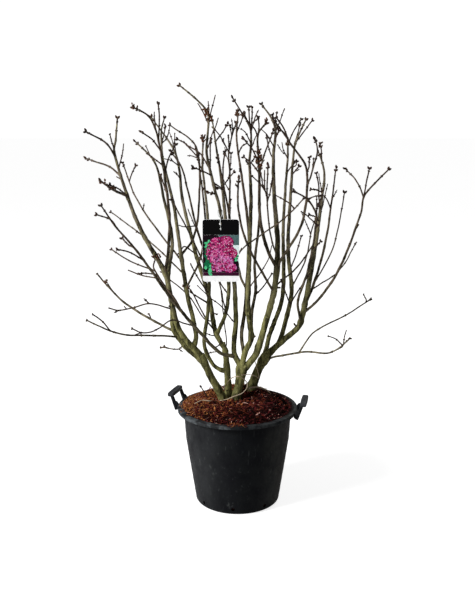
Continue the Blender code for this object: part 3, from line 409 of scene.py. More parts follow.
# How limbs and twigs are drawn
RING_STEP = 0.0055
PATH_STEPS = 160
LEAST_SPAN = 0.001
TAPER_POWER = 1.6
FLARE = 0.30
FLARE_HEIGHT = 0.022
FORK_DEPTH = 0.010
FOOT_SWELL = 0.35
FOOT_WITHIN_PARENT = 0.97
SNAG_THINNING = 0.6
SNAG_FADE = 0.1
OLIVE_BARK_FROM = 0.0148
TWIG_TIP_THICK = 0.50
FINE_TIP_THICK = 0.36
FINE_TWIG = 0.53
WANDER = 0.0016
WANDER_SCALE = 21.0
WANDER_RINGS = 10
WANDER_SHIFTS = [Vector((0, 0, 0)), Vector((31.4, 7.9, 53.6)), Vector((71.3, 43.7, 19.2))]

# Nodes, where buds sit in pairs
FIRST_NODE = 0.02
FIRST_NODE_ON_SHOOT = 0.012
NODE_FREE_TIP = 0.008
NODE_GAP_FOOT = 0.085
NODE_GAP_TIP = 0.034
NODE_GAP_CURVE = 1.3
NODE_GAP_LONG_WOOD = 0.5
THINNEST_NODE_GAP = 0.018
NODE_GAP_UNEVEN = (0.8, 1.2)
NODE_TURN_STRAY = 0.3

# Shoots that grow on by rule: the stoutest wood that bears them, the heights
# where they start and are full, and their lengths as a least and a further part
SHOOT_WOOD_RADIUS = 0.0058
SHOOT_FREE_TIP = 0.03
SHOOT_LOW = 0.92
SHOOT_FULL = 1.25
SHOOT_CHANCE = 0.26
SHOOT_CHANCE_SIDEWAYS = 0.05
LONG_SHOOT_FACING = 0.6
LONG_SHOOT_CHANCE = 0.55
LONG_SHOOT = (0.05, 0.11)
SHORT_SHOOT = (0.012, 0.03)
SHOOT_SLANT = 0.8
SHOOT_THICKEST = 0.0046
SHOOT_FOOT_SHARE = 1.3
SHOOT_FEWEST_RINGS = 5
SHOOT_PIECES = 4
SHOOT_LIFT = 0.16
SHOOT_WANDER = 0.10
ABOVE_PARENT = 0.01
BOX_MARGIN = 0.005

Wood = namedtuple("Wood", "name points radii along ways sides ups nodes")
Spot = namedtuple("Spot", "point way side up radius")
SHARP_ANGLE = math.radians(50)
FIRST_SIDE = (0.31, 0.95, 0.08)

rng = random.Random(20)


# Shapes as arrays of points with lists of faces

class Heap:
    """Many small shapes on the way to being one mesh."""

    def __init__(self):
        self.points = []
        self.faces = []
        self.kinds = []
        self.size = 0

    def add(self, shape, kind=0):
        points, faces = shape
        self.points.append(points)
        self.faces += [[corner + self.size for corner in face] for face in faces]
        self.kinds += [kind] * len(faces)
        self.size += len(points)


def new_object(name, data):
    """Object in the scene, of a mesh, curve, light or camera."""
    obj = bpy.data.objects.new(name, data)
    bpy.context.scene.collection.objects.link(obj)
    return obj


def adopt(obj, replaced=()):
    """Make an object ride on the plant, and stand for the nodes that it replaces."""
    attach(obj, BODY)
    if replaced:
        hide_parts(*replaced)
    return obj


def make_piece(name, heap, materials, replaced=(), smooth=True):
    """One mesh object from a heap of shapes, riding on the plant."""
    mesh = bpy.data.meshes.new(name)
    mesh.from_pydata(np.concatenate(heap.points).tolist(), [], heap.faces)
    for mat in materials:
        mesh.materials.append(mat)
    mesh.polygons.foreach_set("material_index", heap.kinds)
    mesh.validate()
    if smooth:
        mesh.shade_smooth()
        mesh.set_sharp_from_angle(angle=SHARP_ANGLE)
    return adopt(new_object(name, mesh), replaced)


@lru_cache(maxsize=None)
def tube_faces(rings, around):
    """Faces of a closed tube, its rings in order and then the points of its two ends."""
    faces = []
    for i in range(rings - 1):
        low, high = i * around, (i + 1) * around
        for j in range(around):
            k = (j + 1) % around
            faces.append((low + j, low + k, high + k, high + j))
    foot, tip = rings * around, rings * around + 1
    last = (rings - 1) * around
    for j in range(around):
        k = (j + 1) % around
        faces.append((k, j, foot))
        faces.append((last + j, last + k, tip))
    return faces


def frames_along(points, side=FIRST_SIDE):
    """Directions along a path and two square to it, carried on without twist."""
    ways = np.gradient(points, axis=0)
    ways /= np.linalg.norm(ways, axis=1, keepdims=True)
    side = np.array(side, float)
    sides = np.empty_like(points)
    for i, way in enumerate(ways):
        side = side - way * side.dot(way)
        side /= math.sqrt(side.dot(side))
        sides[i] = side
    return ways, sides, np.cross(ways, sides)


def tube_shape(points, radii, around, cap=0.6, frames=None):
    """Closed tube with one radius for each ring, or one for each of its points."""
    points = np.asarray(points, float)
    ways, sides, ups = frames or frames_along(points)
    radii = np.asarray(radii, float).reshape(len(points), -1)
    turn = np.arange(around) * (math.tau / around)
    out = np.cos(turn)[None, :, None] * sides[:, None] + np.sin(turn)[None, :, None] * ups[:, None]
    rings = points[:, None] + out * radii[..., None]
    foot = points[0] - ways[0] * radii[0].mean() * cap
    tip = points[-1] + ways[-1] * radii[-1].mean() * cap
    return np.concatenate([rings.reshape(-1, 3), [foot, tip]]), tube_faces(len(points), around)


def lathe_shape(profile, sides, ripple=None):
    """Closed solid from a profile of (radius, height) points, both its ends on the axis."""
    turn = np.arange(sides) * (math.tau / sides)
    rings = []
    for radius, height in profile[1:-1]:
        ring = np.stack([radius * np.cos(turn), radius * np.sin(turn), np.full(sides, height)], axis=1)
        rings.append(ring)
    ends = [(0, 0, profile[0][1]), (0, 0, profile[-1][1])]
    points = np.concatenate(rings + [ends])
    if ripple:
        points = np.array([ripple(*point) for point in points])
    return points, tube_faces(len(rings), sides)


# Paths of limbs, as in the solids

def carried(x, z, depth):
    """Place at a depth that the eye sees at x, z against the plane of the pot's axis."""
    scale = (EYE_DISTANCE + depth) / EYE_DISTANCE
    return Vector((x * scale, depth, EYE_HEIGHT + (z - EYE_HEIGHT) * scale))


def seen(point):
    """Where the eye sees a place, against the plane of the pot's axis."""
    scale = EYE_DISTANCE / (EYE_DISTANCE + point[1])
    return (point[0] * scale, EYE_HEIGHT + (point[2] - EYE_HEIGHT) * scale)


def ground_depth(z):
    """Depth at which the line of sight through height z meets the top of the mulch."""
    return EYE_DISTANCE * ((EYE_HEIGHT - SOIL_TOP) / (EYE_HEIGHT - z) - 1)


def share_of_slope(span, next_span):
    """How much of the way past a knot its slope covers, less on a short span beside a long one."""
    lead = min(1.0, span / max(next_span, LEAST_SPAN))
    return lead / (1 + lead)


def spline_point(knots, position):
    """Point of a smooth curve through all the knots, at a position counted in knots."""
    i = min(int(position), len(knots) - 2)
    t = position - i
    before = knots[i - 1] if i > 0 else knots[i] * 2 - knots[i + 1]
    after = knots[i + 2] if i + 2 < len(knots) else knots[i + 1] * 2 - knots[i]
    here, there = knots[i], knots[i + 1]
    span = (there - here).length
    slope_here = (there - before) * share_of_slope(span, (here - before).length)
    slope_there = (after - here) * share_of_slope(span, (after - there).length)
    return (here * (2 * t ** 3 - 3 * t ** 2 + 1) + slope_here * (t ** 3 - 2 * t ** 2 + t)
            + there * (3 * t ** 2 - 2 * t ** 3) + slope_there * (t ** 3 - t ** 2))


def distances_along(points):
    """Distance of each point of a path from its first one."""
    steps = np.linalg.norm(np.diff(points, axis=0), axis=1)
    return np.concatenate([[0.0], np.cumsum(steps)])


def smooth_path(knots, step, fewest=4):
    """Evenly stepped points on a smooth curve through the knots."""
    spans = len(knots) - 1
    curve = np.array([tuple(spline_point(knots, spans * i / PATH_STEPS)) for i in range(PATH_STEPS + 1)])
    along = distances_along(curve)
    count = max(fewest, int(along[-1] / step))
    places = np.linspace(0, along[-1], count + 1)
    return np.stack([np.interp(places, along, curve[:, k]) for k in range(3)], axis=1)


def foot_on(parent, foot):
    """Index of the ring of the parent that the eye sees nearest to the foot, given in centimetres."""
    foot = (foot[0] * CM, foot[1] * CM)
    reach = [math.dist(seen(p), foot) for p in parent.points]
    last = len(parent.points) - 1 - int(FORK_DEPTH / RING_STEP)
    return min(int(np.argmin(reach)), last)


def wander_at(place):
    """Steady push at a place. Blender's own noise_vector isn't used, as it differs from run to run."""
    return np.array([noise.noise(place + shift) for shift in WANDER_SHIFTS])


def limb_path(start, bends, depth, bow, fewest=4):
    """Path of a limb through bends as the eye sees them, with the slight wander of grown wood."""
    bends = [(x * CM, z * CM) for x, z in bends]
    flat = [seen(start)] + bends
    steps = [math.dist(a, b) for a, b in zip(flat, flat[1:])]
    knots = [Vector(start)]
    for i, bend in enumerate(bends):
        share = sum(steps[:i + 1]) / sum(steps)
        back = start[1] + (depth * CM - start[1]) * share + 4 * bow * CM * share * (1 - share)
        knots.append(carried(*bend, back))
    points = smooth_path(knots, RING_STEP, fewest)
    for i in range(len(points)):
        points[i] += wander_at(Vector(points[i]) * WANDER_SCALE) * WANDER * min(1.0, i / WANDER_RINGS)
    return points


def node_places(length, first):
    """Distances along a piece of wood at which its pairs of buds sit, and the way each pair faces."""
    places = []
    distance = first
    angle = rng.uniform(0, math.pi)
    while distance < length - NODE_FREE_TIP:
        places.append((distance, angle))
        ahead = max(0.0, 1 - distance / max(length, NODE_GAP_LONG_WOOD))
        gap = NODE_GAP_TIP + (NODE_GAP_FOOT - NODE_GAP_TIP) * ahead ** NODE_GAP_CURVE
        gap = min(gap, max(THINNEST_NODE_GAP, length / 4))
        distance += gap * rng.uniform(*NODE_GAP_UNEVEN)
        angle += math.pi / 2 + rng.uniform(-NODE_TURN_STRAY, NODE_TURN_STRAY)
    return places


def make_wood(name, points, radii, first_node=FIRST_NODE):
    """Gather what later steps need of a limb or twig."""
    along = distances_along(points)
    return Wood(name, points, radii, along, *frames_along(points), node_places(along[-1], first_node))


def spot_on(wood, distance):
    """Place on a piece of wood at a distance from its foot."""
    i = int(np.searchsorted(wood.along, distance))
    i = min(max(i, 0), len(wood.points) - 1)
    return Spot(wood.points[i], wood.ways[i], wood.sides[i], wood.ups[i], wood.radii[i])


def outward(spot, turn):
    """Direction square to the wood at a spot."""
    return spot.side * math.cos(turn) + spot.up * math.sin(turn)


def grow_limbs():
    """All limbs of the solids, and where on each one others have their feet."""
    woods, feet = {}, {}
    for limb in LIMBS:
        thick, thin = (t * CM / 2 for t in limb.thick)
        sunk = 0.0
        if limb.parent:
            parent = woods[limb.parent]
            ring = foot_on(parent, limb.foot)
            start = parent.points[ring]
            sunk = parent.radii[ring]
            feet.setdefault(limb.parent, []).append((parent.along[ring], thick))
        else:
            x, z = limb.foot[0] * CM, limb.foot[1] * CM
            start = carried(x, z, ground_depth(z))
        points = limb_path(start, limb.bends, limb.depth, limb.bow)
        share = np.linspace(0, 1, len(points))
        radii = thick + (thin - thick) * share ** TAPER_POWER
        if limb.parent:
            out = share * len(points) * RING_STEP - sunk
            radii *= 1 + FOOT_SWELL * np.exp(-np.maximum(out, 0.0) / thick)
            radii = np.minimum(radii, max(sunk * FOOT_WITHIN_PARENT, thick))
        else:
            radii *= 1 + FLARE * np.exp((points[0, 2] - points[:, 2]) / FLARE_HEIGHT)
            if limb.name in SNAGS:
                radii *= 1 - SNAG_THINNING * np.clip((share - SNAGS[limb.name]) / SNAG_FADE, 0, 1)
            buried = [points[0] + (points[0] - points[2]) * k for k in (3, 2, 1)]
            points = np.concatenate([buried, points])
            radii = np.concatenate([[radii[0]] * 3, radii])
        woods[limb.name] = make_wood(limb.name, points, radii, max(FIRST_NODE, sunk * 2))
    return woods, feet


def grow_traced_twigs(woods):
    """Twigs that show apart in the picture."""
    twigs = []
    for number, twig in enumerate(TWIGS):
        parent = woods[twig.parent]
        start = parent.points[foot_on(parent, twig.foot)]
        points = limb_path(start, twig.bends, twig.depth, 0, 6)
        share = np.linspace(0, 1, len(points))
        tip_thick = FINE_TIP_THICK if twig.thick < FINE_TWIG else TWIG_TIP_THICK
        radii = (twig.thick + (tip_thick - twig.thick) * share) * CM / 2
        name = twig.name or f"twig_{number}"
        woods[name] = make_wood(name, points, radii)
        twigs.append(woods[name])
    return twigs


def grow_shoot(start, way, length, thick, tip_thick):
    """Young twig that starts one way and turns up towards the light."""
    knots = [Vector(start)]
    heading = Vector(way).normalized()
    for _ in range(SHOOT_PIECES):
        stray = Vector([rng.gauss(0, SHOOT_WANDER) for _ in range(3)])
        heading = (heading + Vector((0, 0, SHOOT_LIFT)) + stray).normalized()
        knots.append(knots[-1] + heading * (length / SHOOT_PIECES))
    step = min(RING_STEP, length / SHOOT_FEWEST_RINGS)
    points = smooth_path(knots, step, SHOOT_FEWEST_RINGS)
    share = np.linspace(0, 1, len(points))
    radii = (thick + (tip_thick * CM - thick) * share) / 2
    return points, radii


def inside_box(point):
    """Whether a place is inside the box of the solids, with a small margin."""
    low, high = CAD_BOX
    return all(low[k] - BOX_MARGIN < point[k] < high[k] + BOX_MARGIN for k in range(3))


def grow_by_rule(woods):
    """Short spurs and young twigs at the nodes of the upper crown, mostly ahead of or behind their limb."""
    grown = []
    for wood in list(woods.values()):
        for distance, angle in wood.nodes:
            spot = spot_on(wood, distance)
            if spot.radius > SHOOT_WOOD_RADIUS or distance > wood.along[-1] - SHOOT_FREE_TIP:
                continue
            height = min(1.0, max(0.0, (spot.point[2] - SHOOT_LOW) / (SHOOT_FULL - SHOOT_LOW)))
            for turn in (angle, angle + math.pi):
                out = outward(spot, turn)
                facing = abs(out[1])
                chance = rng.random()
                reach = rng.random()
                sideways = SHOOT_CHANCE_SIDEWAYS
                if chance > SHOOT_CHANCE * height * (sideways + (1 - sideways) * facing ** 3):
                    continue
                if facing > LONG_SHOOT_FACING and reach < LONG_SHOOT_CHANCE:
                    length = LONG_SHOOT[0] + LONG_SHOOT[1] * rng.random() * height
                else:
                    length = SHORT_SHOOT[0] + SHORT_SHOOT[1] * rng.random()
                way = spot.way * SHOOT_SLANT + out * SHOOT_SLANT
                tip_thick = rng.choice((FINE_TIP_THICK, TWIG_TIP_THICK))
                thick = min(spot.radius * SHOOT_FOOT_SHARE, SHOOT_THICKEST)
                points, radii = grow_shoot(spot.point, way, length, thick, tip_thick)
                if inside_box(points[-1]) and points[-1][2] < wood.points[-1][2] + ABOVE_PARENT:
                    grown.append(make_wood(f"grown_{len(grown)}", points, radii, FIRST_NODE_ON_SHOOT))
    return grown


# Bark

# Grades of bark by the radius from which they hold: sides of the limb, and how rough it is
BARK_GRADES = [(0.009, 18, 0.05), (0.005, 14, 0.05), (0.0, 10, 0.03)]
# Ridges, lumps and fine relief: width of their noise round the limb, its pace along it and their share
BARK_RELIEF = [(2.6, 26, 1.6), (0.8, 60, 1.4), (4.5, 190, 0.6)]
BARK_SHIFTS = (0, 50)
# Swell of a node and how far nodes and knots reach, each as a fixed part and a share of the radius
NODE_SWELL = (0.0006, 0.08)
NODE_REACH = (0.0022, 0.5)
NODE_EVEN_SHARE = 0.35
KNOT_REACH = (0.003, 0.3)
# Knots: their size, width and spacing, and the wood from which they show; then collars, twigs and stubs
KNOT_SIZES = (0.06, 0.2)
KNOT_WIDTH = 0.35
KNOT_GAP = 0.10
KNOT_WOOD_RADIUS = 0.006
COLLAR_SWELL = 0.22
COLLAR_REACH = 2.2
TWIG_SIDES = 7
TWIG_NODE_SWELL = 0.0004
TWIG_FOOT_SWELL = (1.5, 1.2)
STUB_SHARES = (0, 0.5, 0.8, 0.97, 1)
STUB_RADII = (0.0042, 0.0036, 0.0036, 0.0034, 0.0022)
STUB_FORWARD = -0.35
STUB_SIDES = 9
STUB_CAP = 0.1


def rise_at(wood, distance, reach):
    """Smooth rise along a piece of wood, full at a distance from its foot and gone beyond its reach."""
    return np.exp(-((wood.along - distance) / reach) ** 2)


def bark_shape(wood, feet):
    """Tube with ridges, lumps, swollen nodes, knots and collars where other wood leaves it."""
    thickest = wood.radii.max()
    around, rough = next(grade[1:] for grade in BARK_GRADES if thickest > grade[0])
    turn = np.arange(around) * (math.tau / around)
    radii = np.repeat(wood.radii[:, None], around, axis=1)
    shift = rng.uniform(*BARK_SHIFTS)
    for i, (along, base) in enumerate(zip(wood.along, wood.radii)):
        for j, a in enumerate(turn):
            places = [(Vector((wide * math.cos(a), wide * math.sin(a), along * pace + shift)), share)
                      for wide, pace, share in BARK_RELIEF]
            radii[i, j] += base * sum(rough * noise.noise(place) * share for place, share in places)
    for distance, angle in wood.nodes:
        base = spot_on(wood, distance).radius
        reach = NODE_REACH[0] + base * NODE_REACH[1]
        swell = (NODE_SWELL[0] + base * NODE_SWELL[1]) * rise_at(wood, distance, reach)
        two_sided = (1 - NODE_EVEN_SHARE) * np.cos(turn - angle) ** 2
        radii += swell[:, None] * (NODE_EVEN_SHARE + two_sided)
    for distance, thick in feet:
        collar = thick * COLLAR_SWELL * rise_at(wood, distance, thick * COLLAR_REACH)
        radii += collar[:, None]
    if thickest > KNOT_WOOD_RADIUS:
        for _ in range(int(wood.along[-1] / KNOT_GAP)):
            distance, angle = rng.uniform(FIRST_NODE, wood.along[-1]), rng.uniform(0, math.tau)
            base = spot_on(wood, distance).radius
            spread = rise_at(wood, distance, KNOT_REACH[0] + base * KNOT_REACH[1])
            lean = np.exp(-((np.cos(turn - angle) - 1) / KNOT_WIDTH) ** 2)
            radii += base * rng.uniform(*KNOT_SIZES) * spread[:, None] * lean
    return tube_shape(wood.points, radii, around, frames=(wood.ways, wood.sides, wood.ups))


def twig_shape(wood):
    """Young wood, swollen a little at its nodes and its foot."""
    radii = np.array(wood.radii)
    for distance, _ in wood.nodes:
        radii += TWIG_NODE_SWELL * rise_at(wood, distance, NODE_REACH[0])
    radii[:2] *= TWIG_FOOT_SWELL
    return tube_shape(wood.points, radii, TWIG_SIDES, frames=(wood.ways, wood.sides, wood.ups))


def make_limbs(woods, feet, materials):
    """One piece for each limb of the solids."""
    for limb in LIMBS:
        kind = "olive_bark" if limb.thick[0] * CM >= OLIVE_BARK_FROM else "brown_bark"
        heap = Heap()
        heap.add(bark_shape(woods[limb.name], feet.get(limb.name, [])))
        make_piece("bark_" + limb.name, heap, [materials[kind]], [limb.name])


def make_twigs(twigs, name, mat):
    """One piece for all twigs of a kind."""
    heap = Heap()
    for wood in twigs:
        heap.add(twig_shape(wood))
    make_piece(name, heap, [mat])


def make_stubs(woods, mat):
    """Short stumps where a shoot was cut."""
    heap = Heap()
    for name, place, length, lean in STUBS:
        wood = woods[name]
        ring = foot_on(wood, place)
        start = wood.points[ring]
        way = Vector((lean, STUB_FORWARD, 1.0 - abs(lean))).normalized()
        reach = wood.radii[ring] + length * CM
        points = [Vector(start) + way * reach * share for share in STUB_SHARES]
        heap.add(tube_shape(points, STUB_RADII, STUB_SIDES, cap=STUB_CAP))
    make_piece("stubs", heap, [mat])


# Buds, dry flower stalks and dry stems

# Colours of the buds by their number
MAROON, RED_BROWN, OLIVE, DARK = range(4)
# Widths of a bud, as shares of its greatest, at shares of its length
BUD_SHARES = (0.0, 0.2, 0.45, 0.72, 0.9)
BUD_WIDTHS = (0.62, 0.95, 1.0, 0.72, 0.38)
BUD_SIDES = 8
BUD_EDGE = 0.10
BUD_CAP = 0.55
STEM_SIDES = 8
STALK_SIDES = 5
# The stoutest wood that bears side buds, and lengths of buds in millimetres
BUD_WOOD_RADIUS = 0.0072
SIDE_BUD_LENGTHS = (3.2, 4.6)
SIDE_BUD_WIDTH = 0.66
# Way of a side bud along and out from the wood, and how far out buds sit, as a share of the wood's radius
SIDE_BUD_WAY = (0.95, 0.6)
SIDE_BUD_SEAT = 0.7
TIP_BUD_SEAT = 0.6
NEAR_TIP = 0.15
NEAR_TIP_SCALE = 1.3
FINE_TIP_LIMIT = FINE_TIP_THICK * CM * 0.51
FINE_TIP_BUD_LENGTHS = (5.5, 7.5)
FINE_TIP_BUD_WIDTHS = (3.2, 4.2)
TIP_BUD_LENGTHS = (10.5, 13.5)
TIP_BUD_WIDTHS = (0.56, 0.66)
TIP_BUD_LEANS = (0.4, 0.7)
TIP_BUD_GAPS = (11, 17)
SECOND_PAIR_STEP = 0.2
TIP_SET_BACK = 0.0055
# Tip buds are smaller on the low limbs: their scale there, and the heights between which it grows to full
LOW_BUD_SCALE = 0.62
LOW_BUD_HEIGHT = 0.85
LOW_BUD_RISE = 0.25
# Scale of the tip buds, and the chance of a second pair, on limbs, traced twigs, and long and short shoots
LIMB_TIP = (1.05, 0.75)
TWIG_TIP = (1.0, 0.5)
LONG_SHOOT_TIP = (0.85, 0.5)
SHORT_SHOOT_TIP = (0.7, 0.5)
LONG_SHOOT_FROM = 0.04
CAPSULE_STALK_RADII = [0.7 * MM, 0.6 * MM, 0.6 * MM]
CAPSULE_STALK_LENGTHS = (1.5, 6.5)
CAPSULE_LENGTHS = (7, 10)
CAPSULE_WIDTH = 5.0 * MM
CAPSULE_SLANTS = (0.3, 1.0)
CAPSULE_LIFT = Vector((0, 0, 0.5))


def bud_shape(base, way, length, width):
    """Pointed scaly bud, four-edged where its scales overlap."""
    way = Vector(way).normalized()
    points = [Vector(base) + way * length * share for share in BUD_SHARES]
    edges = 1 + BUD_EDGE * np.cos(4 * np.arange(BUD_SIDES) * (math.tau / BUD_SIDES))
    radii = [width / 2 * share * edges for share in BUD_WIDTHS]
    return tube_shape(points, radii, BUD_SIDES, cap=BUD_CAP)


def add_side_buds(heap, wood):
    """Pair of small buds at each node."""
    for distance, angle in wood.nodes:
        spot = spot_on(wood, distance)
        if spot.radius > BUD_WOOD_RADIUS:
            continue
        kind = rng.choice((RED_BROWN, OLIVE, OLIVE, DARK))
        near_tip = distance > wood.along[-1] - NEAR_TIP
        size = rng.uniform(*SIDE_BUD_LENGTHS) * MM * (NEAR_TIP_SCALE if near_tip else 1.0)
        for turn in (angle, angle + math.pi):
            out = outward(spot, turn)
            base = spot.point + out * spot.radius * SIDE_BUD_SEAT
            way = spot.way * SIDE_BUD_WAY[0] + out * SIDE_BUD_WAY[1]
            heap.add(bud_shape(base, way, size, size * SIDE_BUD_WIDTH), kind)


def add_tip_buds(heap, wood, scale, second_pair):
    """Fat twin buds at the tip, some with another pair close below them, or one small bud on a fine tip."""
    tip = spot_on(wood, wood.along[-1])
    end = tip.point - tip.way * TIP_SET_BACK
    angle = rng.uniform(0, math.pi)
    kind = rng.choice((MAROON, RED_BROWN, DARK, DARK))
    if tip.radius < FINE_TIP_LIMIT:
        length, width = rng.uniform(*FINE_TIP_BUD_LENGTHS) * MM, rng.uniform(*FINE_TIP_BUD_WIDTHS) * MM
        heap.add(bud_shape(end, tip.way, length, width), DARK)
        return
    drop = 0.0
    rise = min(1.0, max(0.0, (end[2] - LOW_BUD_HEIGHT) / LOW_BUD_RISE))
    scale *= LOW_BUD_SCALE + (1 - LOW_BUD_SCALE) * rise
    for pair in range(2 if rng.random() < second_pair else 1):
        size = rng.uniform(*TIP_BUD_LENGTHS) * MM * scale * (1 - SECOND_PAIR_STEP * pair)
        for turn in (angle, angle + math.pi):
            out = outward(tip, turn)
            lean = rng.uniform(*TIP_BUD_LEANS) + SECOND_PAIR_STEP * pair
            base = end - tip.way * drop + out * tip.radius * TIP_BUD_SEAT
            heap.add(bud_shape(base, tip.way + out * lean, size, size * rng.uniform(*TIP_BUD_WIDTHS)), kind)
        drop += rng.uniform(*TIP_BUD_GAPS) * MM * scale
        angle += math.pi / 2


def make_buds(limbs, twigs, grown, materials):
    """All buds of the crown, those at the nodes and those at the tips."""
    side_buds, tip_buds = Heap(), Heap()
    for wood in limbs + twigs + grown:
        add_side_buds(side_buds, wood)
    for wood in limbs:
        if not wood.name.startswith("stem"):
            add_tip_buds(tip_buds, wood, *LIMB_TIP)
    for wood in twigs:
        add_tip_buds(tip_buds, wood, *TWIG_TIP)
    for wood in grown:
        tip = LONG_SHOOT_TIP if wood.along[-1] > LONG_SHOOT_FROM else SHORT_SHOOT_TIP
        add_tip_buds(tip_buds, wood, *tip)
    make_piece("side_buds", side_buds, materials)
    make_piece("tip_buds", tip_buds, materials)


def nearest_wood(woods, x, z):
    """Piece of wood, and the ring on it, that the eye sees nearest to a place given in centimetres."""
    best = None
    for wood in woods:
        reach = [math.dist(seen(p), (x * CM, z * CM)) for p in wood.points]
        ring = int(np.argmin(reach))
        if best is None or reach[ring] < best[0]:
            best = (reach[ring], wood, ring)
    return best[1], best[2]


def make_panicles(woods, materials):
    """Remains of last year's flowers: seed capsules on short stalks, close round a limb."""
    stalks, capsules = Heap(), Heap()
    for x, z, reach, count in PANICLES:
        wood, ring = nearest_wood(woods, x, z)
        for _ in range(count):
            spot = spot_on(wood, wood.along[ring] + rng.uniform(-0.5, 0.5) * reach * CM)
            out = outward(spot, rng.uniform(0, math.tau))
            heading = Vector(spot.way * rng.uniform(*CAPSULE_SLANTS) + out).normalized()
            start = Vector(spot.point)
            end = start + heading * (spot.radius + rng.uniform(*CAPSULE_STALK_LENGTHS) * MM)
            stalks.add(tube_shape([start, start.lerp(end, 0.5), end], CAPSULE_STALK_RADII, STALK_SIDES))
            length = rng.uniform(*CAPSULE_LENGTHS) * MM
            capsule = bud_shape(end, heading + CAPSULE_LIFT, length, CAPSULE_WIDTH)
            capsules.add(capsule, rng.choice((0, 1)))
    make_piece("flower_stalks", stalks, [materials[0]])
    make_piece("seed_capsules", capsules, materials)


def strand_knot(x, z, depth):
    """Place in space of a knot given in centimetres, on the mulch where it has no depth."""
    x, z = x * CM, z * CM
    if depth is not None:
        return carried(x, z, depth * CM)
    near, far = -STRAND_REACH, STRAND_REACH
    for _ in range(STRAND_SEARCH_STEPS):
        depth = (near + far) / 2
        place = carried(x, z, depth)
        if place.z > mulch_height(place.x, place.y) + STRAND_REST:
            near = depth
        else:
            far = depth
    return place


def make_strands(mat):
    """Dry stems of a climbing weed that lie over the mulch."""
    heap = Heap()
    for thick, strand in STRANDS:
        points = smooth_path([strand_knot(*knot) for knot in strand], STRAND_STEP)
        wobble = [1 + STRAND_UNEVEN * noise.noise(Vector(p) * STRAND_UNEVEN_PACE) for p in points]
        heap.add(tube_shape(points, np.array(wobble) * thick * CM / 2, STEM_SIDES))
    make_piece("dry_strands", heap, [mat])


def make_stray_twig(materials):
    """Dead bit of twig with a bud on top, stuck in the mulch."""
    heap = Heap()
    points = smooth_path([strand_knot(*knot) for knot in STRAY_TWIG], STRAND_STEP)
    radii = np.linspace(1, STRAY_TAPER, len(points)) * STRAY_THICK * CM / 2
    heap.add(tube_shape(points, radii, STEM_SIDES))
    way = Vector(points[-1]) - Vector(points[-2])
    heap.add(bud_shape(points[-1], way, *STRAY_BUD), 1)
    make_piece("stray_twig", heap, materials)


# Materials

EVEN = (1, 1, 1)
BARK_STREAK = (1, 1, 0.22)
# Patches or streaks made by a noise: its scale and detail, the span of it that counts,
# the span that this is taken to, its stretch and its roughness
Marks = namedtuple("Marks", "scale detail low high least most stretch rough", defaults=(0.0, 1.0, EVEN, 0.55))
BARK_WANDER = Marks(7.0, 2.0, 0.3, 0.7, -0.12, 0.12)
BARK_PATCHES = Marks(38.0, 5.0, 0.42, 0.58, 0.0, 0.9, BARK_STREAK, 0.68)
BARK_SPECKS = Marks(150.0, 3.0, 0.60, 0.70, 0.0, 0.55, (1, 1, 0.5))
BARK_STREAKS = Marks(210.0, 4.0, 0.3, 0.7, 0.72, 1.12, BARK_STREAK)
POT_TONE = Marks(14.0, 5.0, 0.35, 0.7)
# Dust and painted highlight down the pot's left and right sides
LEFT_DUST_AND_HIGHLIGHT = Marks(13.0, 6.0, 0.32, 0.68, 0.25, 1.0, (1, 1, 0.6), 0.72)
RIGHT_DUST_AND_HIGHLIGHT = Marks(18.0, 5.0, 0.38, 0.64, 0.0, 1.0, (1, 1, 0.5), 0.7)
SCUFFS = Marks(52.0, 5.0, 0.61, 0.70, 0.0, 0.55, (1, 1, 0.6), 0.7)
SCRATCHES = Marks(120.0, 2.0, 0.67, 0.73, 0.0, 0.45, (1.6, 1.6, 0.12), 0.5)
# Painted highlight on the lip
LIP_HIGHLIGHT_PATCHES = Marks(34.0, 5.0, 0.43, 0.58, 0.06, 1.0)
# Darker brown patches at the pot's right and back
BACK_DARK_PATCHES = Marks(90.0, 4.0, 0.30, 0.50)
POT_GLOSS = Marks(60.0, 4.0, 0.3, 0.7, 0.42, 0.60)
HANDLE_TONE = Marks(55.0, 5.0, 0.32, 0.68)
# Painted highlight on the upper part of the grip
GRIP_HIGHLIGHT = Marks(90.0, 4.0, 0.34, 0.60, 0.3, 0.9)
FLOOR_TONE = Marks(1.5, 2.0, 0.3, 0.7, 0.52, 0.54)
LEFT_DUST_AND_HIGHLIGHT_MOST = 0.78
RIGHT_DUST_AND_HIGHLIGHT_MOST = 0.85
# Roughness and specular level of each surface
BARK_FINISH = (0.85, 0.06)
POT_FINISH = (0.45, 0.045)
HANDLE_FINISH = (0.40, 0.08)
FLOOR_FINISH = (0.9, 0.1)
# Fine relief: its depth in metres, and scale, detail, stretch and roughness of its noise
BARK_GRAIN = (0.0016, 260.0, 5.0, BARK_STREAK, 0.65)
POT_GRAIN = (0.00012, 520.0, 3.0)
HANDLE_GRAIN = (0.0002, 140.0, 3.0)
# Plain materials: detail and span of their patches, and their relief's scale beside the patches' own
PLAIN_PATCHES = (5.0, 0.32, 0.68)
PLAIN_GRAIN_SCALE = 2.5
PLAIN_GRAIN_DETAIL = 3.0
# Pale specks of bark: how much brighter than the bark, as a factor and a further part
SPECK_GAIN = (1.7, 0.02)
# Spans of place, in metres, over which marks and painted highlights on the pot and its handles come on, some
# with the strengths at their ends
LEFT_DUST_AND_HIGHLIGHT_ACROSS = (0.02, -0.14)
RIGHT_DUST_AND_HIGHLIGHT_ACROSS = (0.07, 0.19)
SCUFFS_ACROSS = (0.08, -0.06, 0.35, 1.0)
LIP_RISE = (0.3635, 0.3665)
LIP_TOP_RISE = (0.3785, 0.3795)
LIP_SKIRT_HIGHLIGHT_ACROSS = (0.0, 0.04, 1.0, 0.30)
BACK_DARK_INWARD = (0.2190, 0.2150)
BACK_DARK_BACKWARD = (0.04, 0.10)
GRIP_RISE = (0.4035, 0.4085)
# Direction in which the darker brown patches lie
BACK_DARK_WAY = (0.80, 0.60, 0.0)
